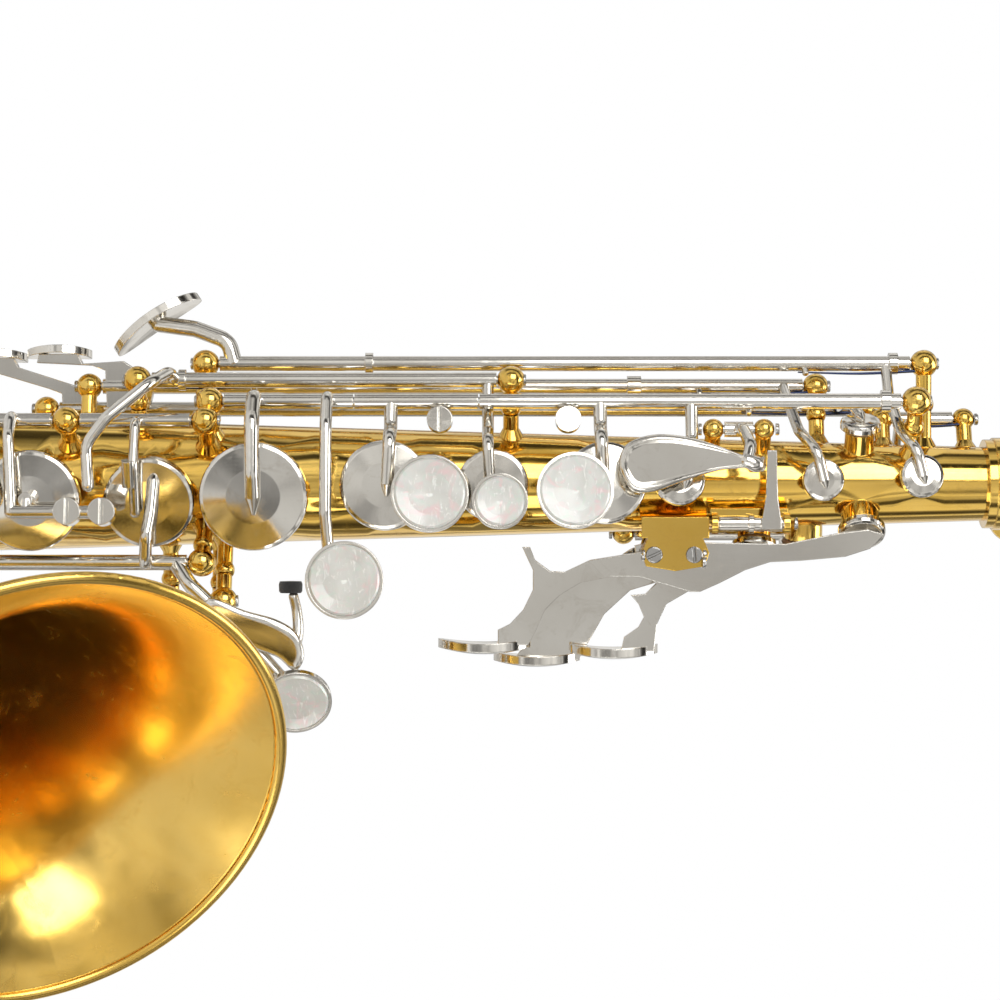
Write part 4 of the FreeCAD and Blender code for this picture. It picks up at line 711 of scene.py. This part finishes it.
def nearest_on(spine, p):
    a, b = spine
    along = max(0.0, min(1.0, (p - a).dot(b - a) / (b - a).length_squared))
    return a + (b - a) * along


def rounded_plate(outline, spine, levels, steps=5):
    """Plate with soft edges in the local XY plane, from (z, x) points: each level is how far its ring
    has shrunk towards the spine, and its height."""
    loop = closed_path([(z, -x) for z, x in outline], steps)
    ends = [Vector((z, -x)) for z, x in spine]
    rings = []
    for shrink, height in levels:
        ring = []
        for p in loop:
            q = p.lerp(nearest_on(ends, p), shrink)
            ring.append(vec(q.x, q.y, height))
        rings.append(ring)
    points, faces = strips(rings)
    count = len(loop)
    faces.append(list(range(count))[::-1])
    faces.append(list(range(len(points) - count, len(points))))
    return points, faces


def add_front_f_touch():
    """Thick teardrop with a raised rim round its dished face."""
    outline = [(56.3, -4.4), (49.0, -7.8), (41.0, -10.1), (33.5, -10.5), (27.8, -8.3), (26.3, -3.4),
               (29.2, 1.5), (34.0, 1.7), (40.0, -0.4), (48.0, -2.8)]
    levels = [(0.18, -1.35), (0.05, -1.15), (-0.03, -0.5), (-0.03, 0.2), (0.03, 0.85), (0.10, 1.2),
              (0.16, 1.26), (0.22, 1.1), (0.28, 0.92), (0.60, 0.80), (0.92, 0.84)]
    form = Form().add(rounded_plate(outline, ((32.0, -4.6), (52.0, -5.0)), levels),
                      facing(vec(0.0, -27.3, 0.0), FRONT))
    form.add(sweep([vec(-5.0, -27.2, 54.4), vec(-4.2, -26.6, 56.4), vec(-4.6, -25.0, 57.0)],
                   [1.7, 1.9, 1.5]))
    form.add(lathe([(0.0, -1.6), (1.7, -1.6), (2.1, -1.1), (2.1, 1.1), (1.7, 1.6), (0.0, 1.6)], 32),
             facing(vec(-4.3, -25.4, 56.6), vec(1.0, 0.2, 0.1)))
    piece("front_f_touch", form, [NICKEL], "front_f_lever")


def add_gsharp_lever():
    """Broad lever behind the table pearl, and the arm that holds a felt bumper up."""
    outline = [(-64.5, 25.4), (-56.5, 28.2), (-49.5, 30.2), (-45.0, 33.2), (-43.4, 38.2), (-45.4, 41.6),
               (-49.2, 38.6), (-53.5, 37.0), (-59.5, 34.4), (-65.2, 30.8)]
    levels = [(0.20, -0.95), (0.06, -0.8), (0.0, -0.4), (0.0, 0.3), (0.05, 0.75), (0.14, 0.95),
              (0.45, 1.0)]
    form = Form().add(rounded_plate(outline, ((-61.0, 29.5), (-47.0, 37.0)), levels),
                      facing(vec(0.0, -23.5, 0.0), FRONT))
    form.add(sweep([vec(37.0, -22.6, -45.8), vec(33.0, -21.2, -44.9), vec(28.6, -20.6, -45.2),
                    vec(25.0, -20.4, -46.0)], [1.5, 1.25, 1.15, 1.1], flat=0.8))
    piece("gsharp_table_lever", form, [NICKEL], "gsharp_key")
    profile = [(0.0, 0.0), (2.3, 0.0), (2.6, 0.4), (2.65, 2.0), (2.4, 2.6), (0.0, 2.7)]
    felt = Form().add(lathe(profile, 32), facing(vec(24.4, -20.4, -46.6), vec(-1.0, 0.0, 0.0)))
    piece("gsharp_bumper_felt", felt, [FELT], "gsharp_key")


SADDLE_SCREWS = ((16.0, 34.6), (16.0, 43.6))
SADDLE_FACE = -14.9


def add_saddle_screws():
    form = Form()
    for n, (x, z) in enumerate(SADDLE_SCREWS):
        form.add(slotted_head(1.9, 1.15, 25.0 + 70.0 * n), facing(vec(x, SADDLE_FACE, z), FRONT))
    piece("saddle_screws", form, [STEEL], HORN)


# guard over a low cup: height of its felt's holder above the tone hole's rim
GUARD_HEIGHTS = {"low_c": 12.8, "low_b": 15.6, "low_bb": 15.6}


def add_guard_felts():
    profile = [(0.0, -0.2), (2.7, -0.2), (3.05, 0.1), (3.1, 1.5), (2.8, 1.95), (0.0, 2.05)]
    form = Form()
    for name, height in GUARD_HEIGHTS.items():
        rim, direction, _radius = rim_of(name)
        place = facing(rim + direction * (height - 0.5), -direction)
        form.add(lathe(profile, 36), place)
    piece("guard_felts", form, [FELT], HORN)


NECK_STRAIGHT_TOP = 136.0
NECK_BEND_RADIUS = 30.0
NECK_BEND = math.radians(75.0)
NECK_END_RUN = 34.0
CORK_LENGTH = 24.0
NECK_BEAD = 0.8


def add_neck_cork():
    """Cork sleeve with rubbed edges and the dents a mouthpiece leaves."""
    axis = vec(0.0, math.sin(NECK_BEND), math.cos(NECK_BEND))
    bend_end = vec(0.0, NECK_BEND_RADIUS * (1.0 - math.cos(NECK_BEND)),
                   NECK_STRAIGHT_TOP + NECK_BEND_RADIUS * math.sin(NECK_BEND))
    start = bend_end + axis * (NECK_END_RUN - CORK_LENGTH - NECK_BEAD)
    profile = [(5.0, 0.0), (5.95, 0.0), (6.15, 0.25), (6.22, 0.9), (6.2, 5.0), (6.12, 5.8), (6.05, 7.0),
               (6.08, 14.0), (6.04, 19.0), (6.12, 22.6), (5.95, 23.6), (5.6, 24.0), (5.0, 24.0)]
    form = Form().add(strips(lathe_rings(profile, 64), closed=True),
                      facing(start, axis, vec(1.0, 0.0, 0.0)))
    cork = piece("neck_cork_sleeve", form, [CORK], HORN)
    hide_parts("neck_cork")


# ---- floor, light and camera: metres from here on -----------------------------------------------
FLOOR_RADIUS = 0.68
FLOOR_SIDES = 96
FLOOR_BELOW = 0.0005


def add_floor():
    """Pale round floor that fades out at its edge."""
    centre = vec((cad_low.x + cad_high.x) / 2.0, (cad_low.y + cad_high.y) / 2.0, cad_low.z - FLOOR_BELOW)
    points = []
    for i in range(FLOOR_SIDES):
        turn = 2 * math.pi * i / FLOOR_SIDES
        points.append(centre + vec(FLOOR_RADIUS * math.cos(turn), FLOOR_RADIUS * math.sin(turn)))
    mesh = bpy.data.meshes.new("floor")
    mesh.from_pydata(points, [], [list(range(FLOOR_SIDES))])
    floor = bpy.data.objects.new("floor", mesh)
    bpy.context.scene.collection.objects.link(floor)
    look = Look("pale_floor")
    reach = look.node("ShaderNodeVectorMath", {0: look.place, 1: tuple(centre)}, operation="DISTANCE")
    fade = look.ranged(reach.outputs["Value"], 0.30 * FLOOR_RADIUS, 0.97 * FLOOR_RADIUS, 1.0, 0.0)
    mottle = look.noise(9.0, 3.0)
    tone = look.mix(look.ranged(mottle, 0.3, 0.7, 0.0, 1.0),
                    rgb(0.86, 0.86, 0.86), rgb(0.82, 0.82, 0.82))
    look.finish(Base_Color=tone, Roughness=0.9, Alpha=fade)
    mesh.materials.append(look.material)


def add_world():
    """Bright studio with soft dark gaps between its panels, which polished metal mirrors."""
    world = bpy.data.worlds.new("studio")
    world.use_nodes = True
    world.node_tree.nodes.clear()
    sky = Nodes(world.node_tree, "Generated")
    parts = sky.node("ShaderNodeSeparateXYZ", {0: sky.place})
    height = sky.ranged(parts.outputs["Y"], -1.0, 1.0, 0.0, 1.0)
    bands = sky.stops(height, [(0.0, 0.60), (0.015, 0.78), (0.04, 1.0), (0.16, 0.92), (0.20, 0.10),
                               (0.27, 0.05), (0.31, 0.85), (0.46, 0.95), (0.50, 0.25), (0.56, 0.04),
                               (0.62, 0.10), (0.67, 0.9), (1.0, 0.85)])
    cloud = sky.noise(3.4, 3.0, 0.6, 0.8)
    patches = sky.ranged(cloud, 0.40, 0.54, 0.22, 1.0)
    seen = sky.math("MULTIPLY", bands, patches)
    tone = sky.mix(seen, rgb(0.012, 0.010, 0.008), rgb(0.98, 0.97, 0.95))
    ray = sky.tree.nodes.new("ShaderNodeLightPath").outputs["Is Camera Ray"]
    shown = sky.mix(ray, tone, rgb(1.0, 1.0, 1.0))
    back = sky.node("ShaderNodeBackground", {"Color": shown})
    sky.node("ShaderNodeOutputWorld", {"Surface": back.outputs[0]})
    bpy.context.scene.world = world
    bpy.context.scene.view_settings.view_transform = "Standard"


# panel: place from the horn's middle, width and height, watts
LIGHTS = {
    "key_panel": ((-0.55, -0.95, 0.35), (0.7, 0.7), 6.0),
    "fill_panel": ((0.75, -0.8, -0.3), (0.6, 0.9), 3.5),
    "top_panel": ((0.1, -0.1, 1.1), (0.8, 0.5), 5.0),
}


def add_light(name, place, target, size, energy):
    data = bpy.data.lights.new(name, "AREA")
    data.shape = "RECTANGLE"
    data.size, data.size_y = size
    data.energy = energy
    light = bpy.data.objects.new(name, data)
    light.location = place
    light.rotation_mode = "QUATERNION"
    light.rotation_quaternion = (target - place).to_track_quat("-Z", "Y")
    bpy.context.scene.collection.objects.link(light)


CAMERA_DISTANCE = 650.0         # millimetres in front of the horn's own origin
CAMERA_ASIDE = 3.7
LENS = 101.8
SENSOR = 36.0


def add_camera():
    """Looks straight at the front with the horn lying across the picture, its neck to the right."""
    data = bpy.data.cameras.new("camera")
    data.lens = LENS
    data.sensor_width = SENSOR
    data.clip_start, data.clip_end = 0.05, 20.0
    camera = bpy.data.objects.new("camera", data)
    place = TO_ROW @ vec(CAMERA_ASIDE, -CAMERA_DISTANCE, 0.0)
    turn = Matrix(((0.0, -1.0, 0.0), (0.0, 0.0, -1.0), (1.0, 0.0, 0.0))).to_4x4()
    camera.matrix_world = Matrix.Translation(place) @ turn
    bpy.context.scene.collection.objects.link(camera)
    bpy.context.scene.camera = camera


add_pads()
add_pivot_screws()
add_needle_springs()
add_front_f_touch()
add_gsharp_lever()
add_saddle_screws()
add_guard_felts()
add_neck_cork()
add_floor()
add_world()
for panel, (offset, size, energy) in LIGHTS.items():
    add_light(panel, ORIGIN + Vector(offset), ORIGIN, size, energy)
add_camera()
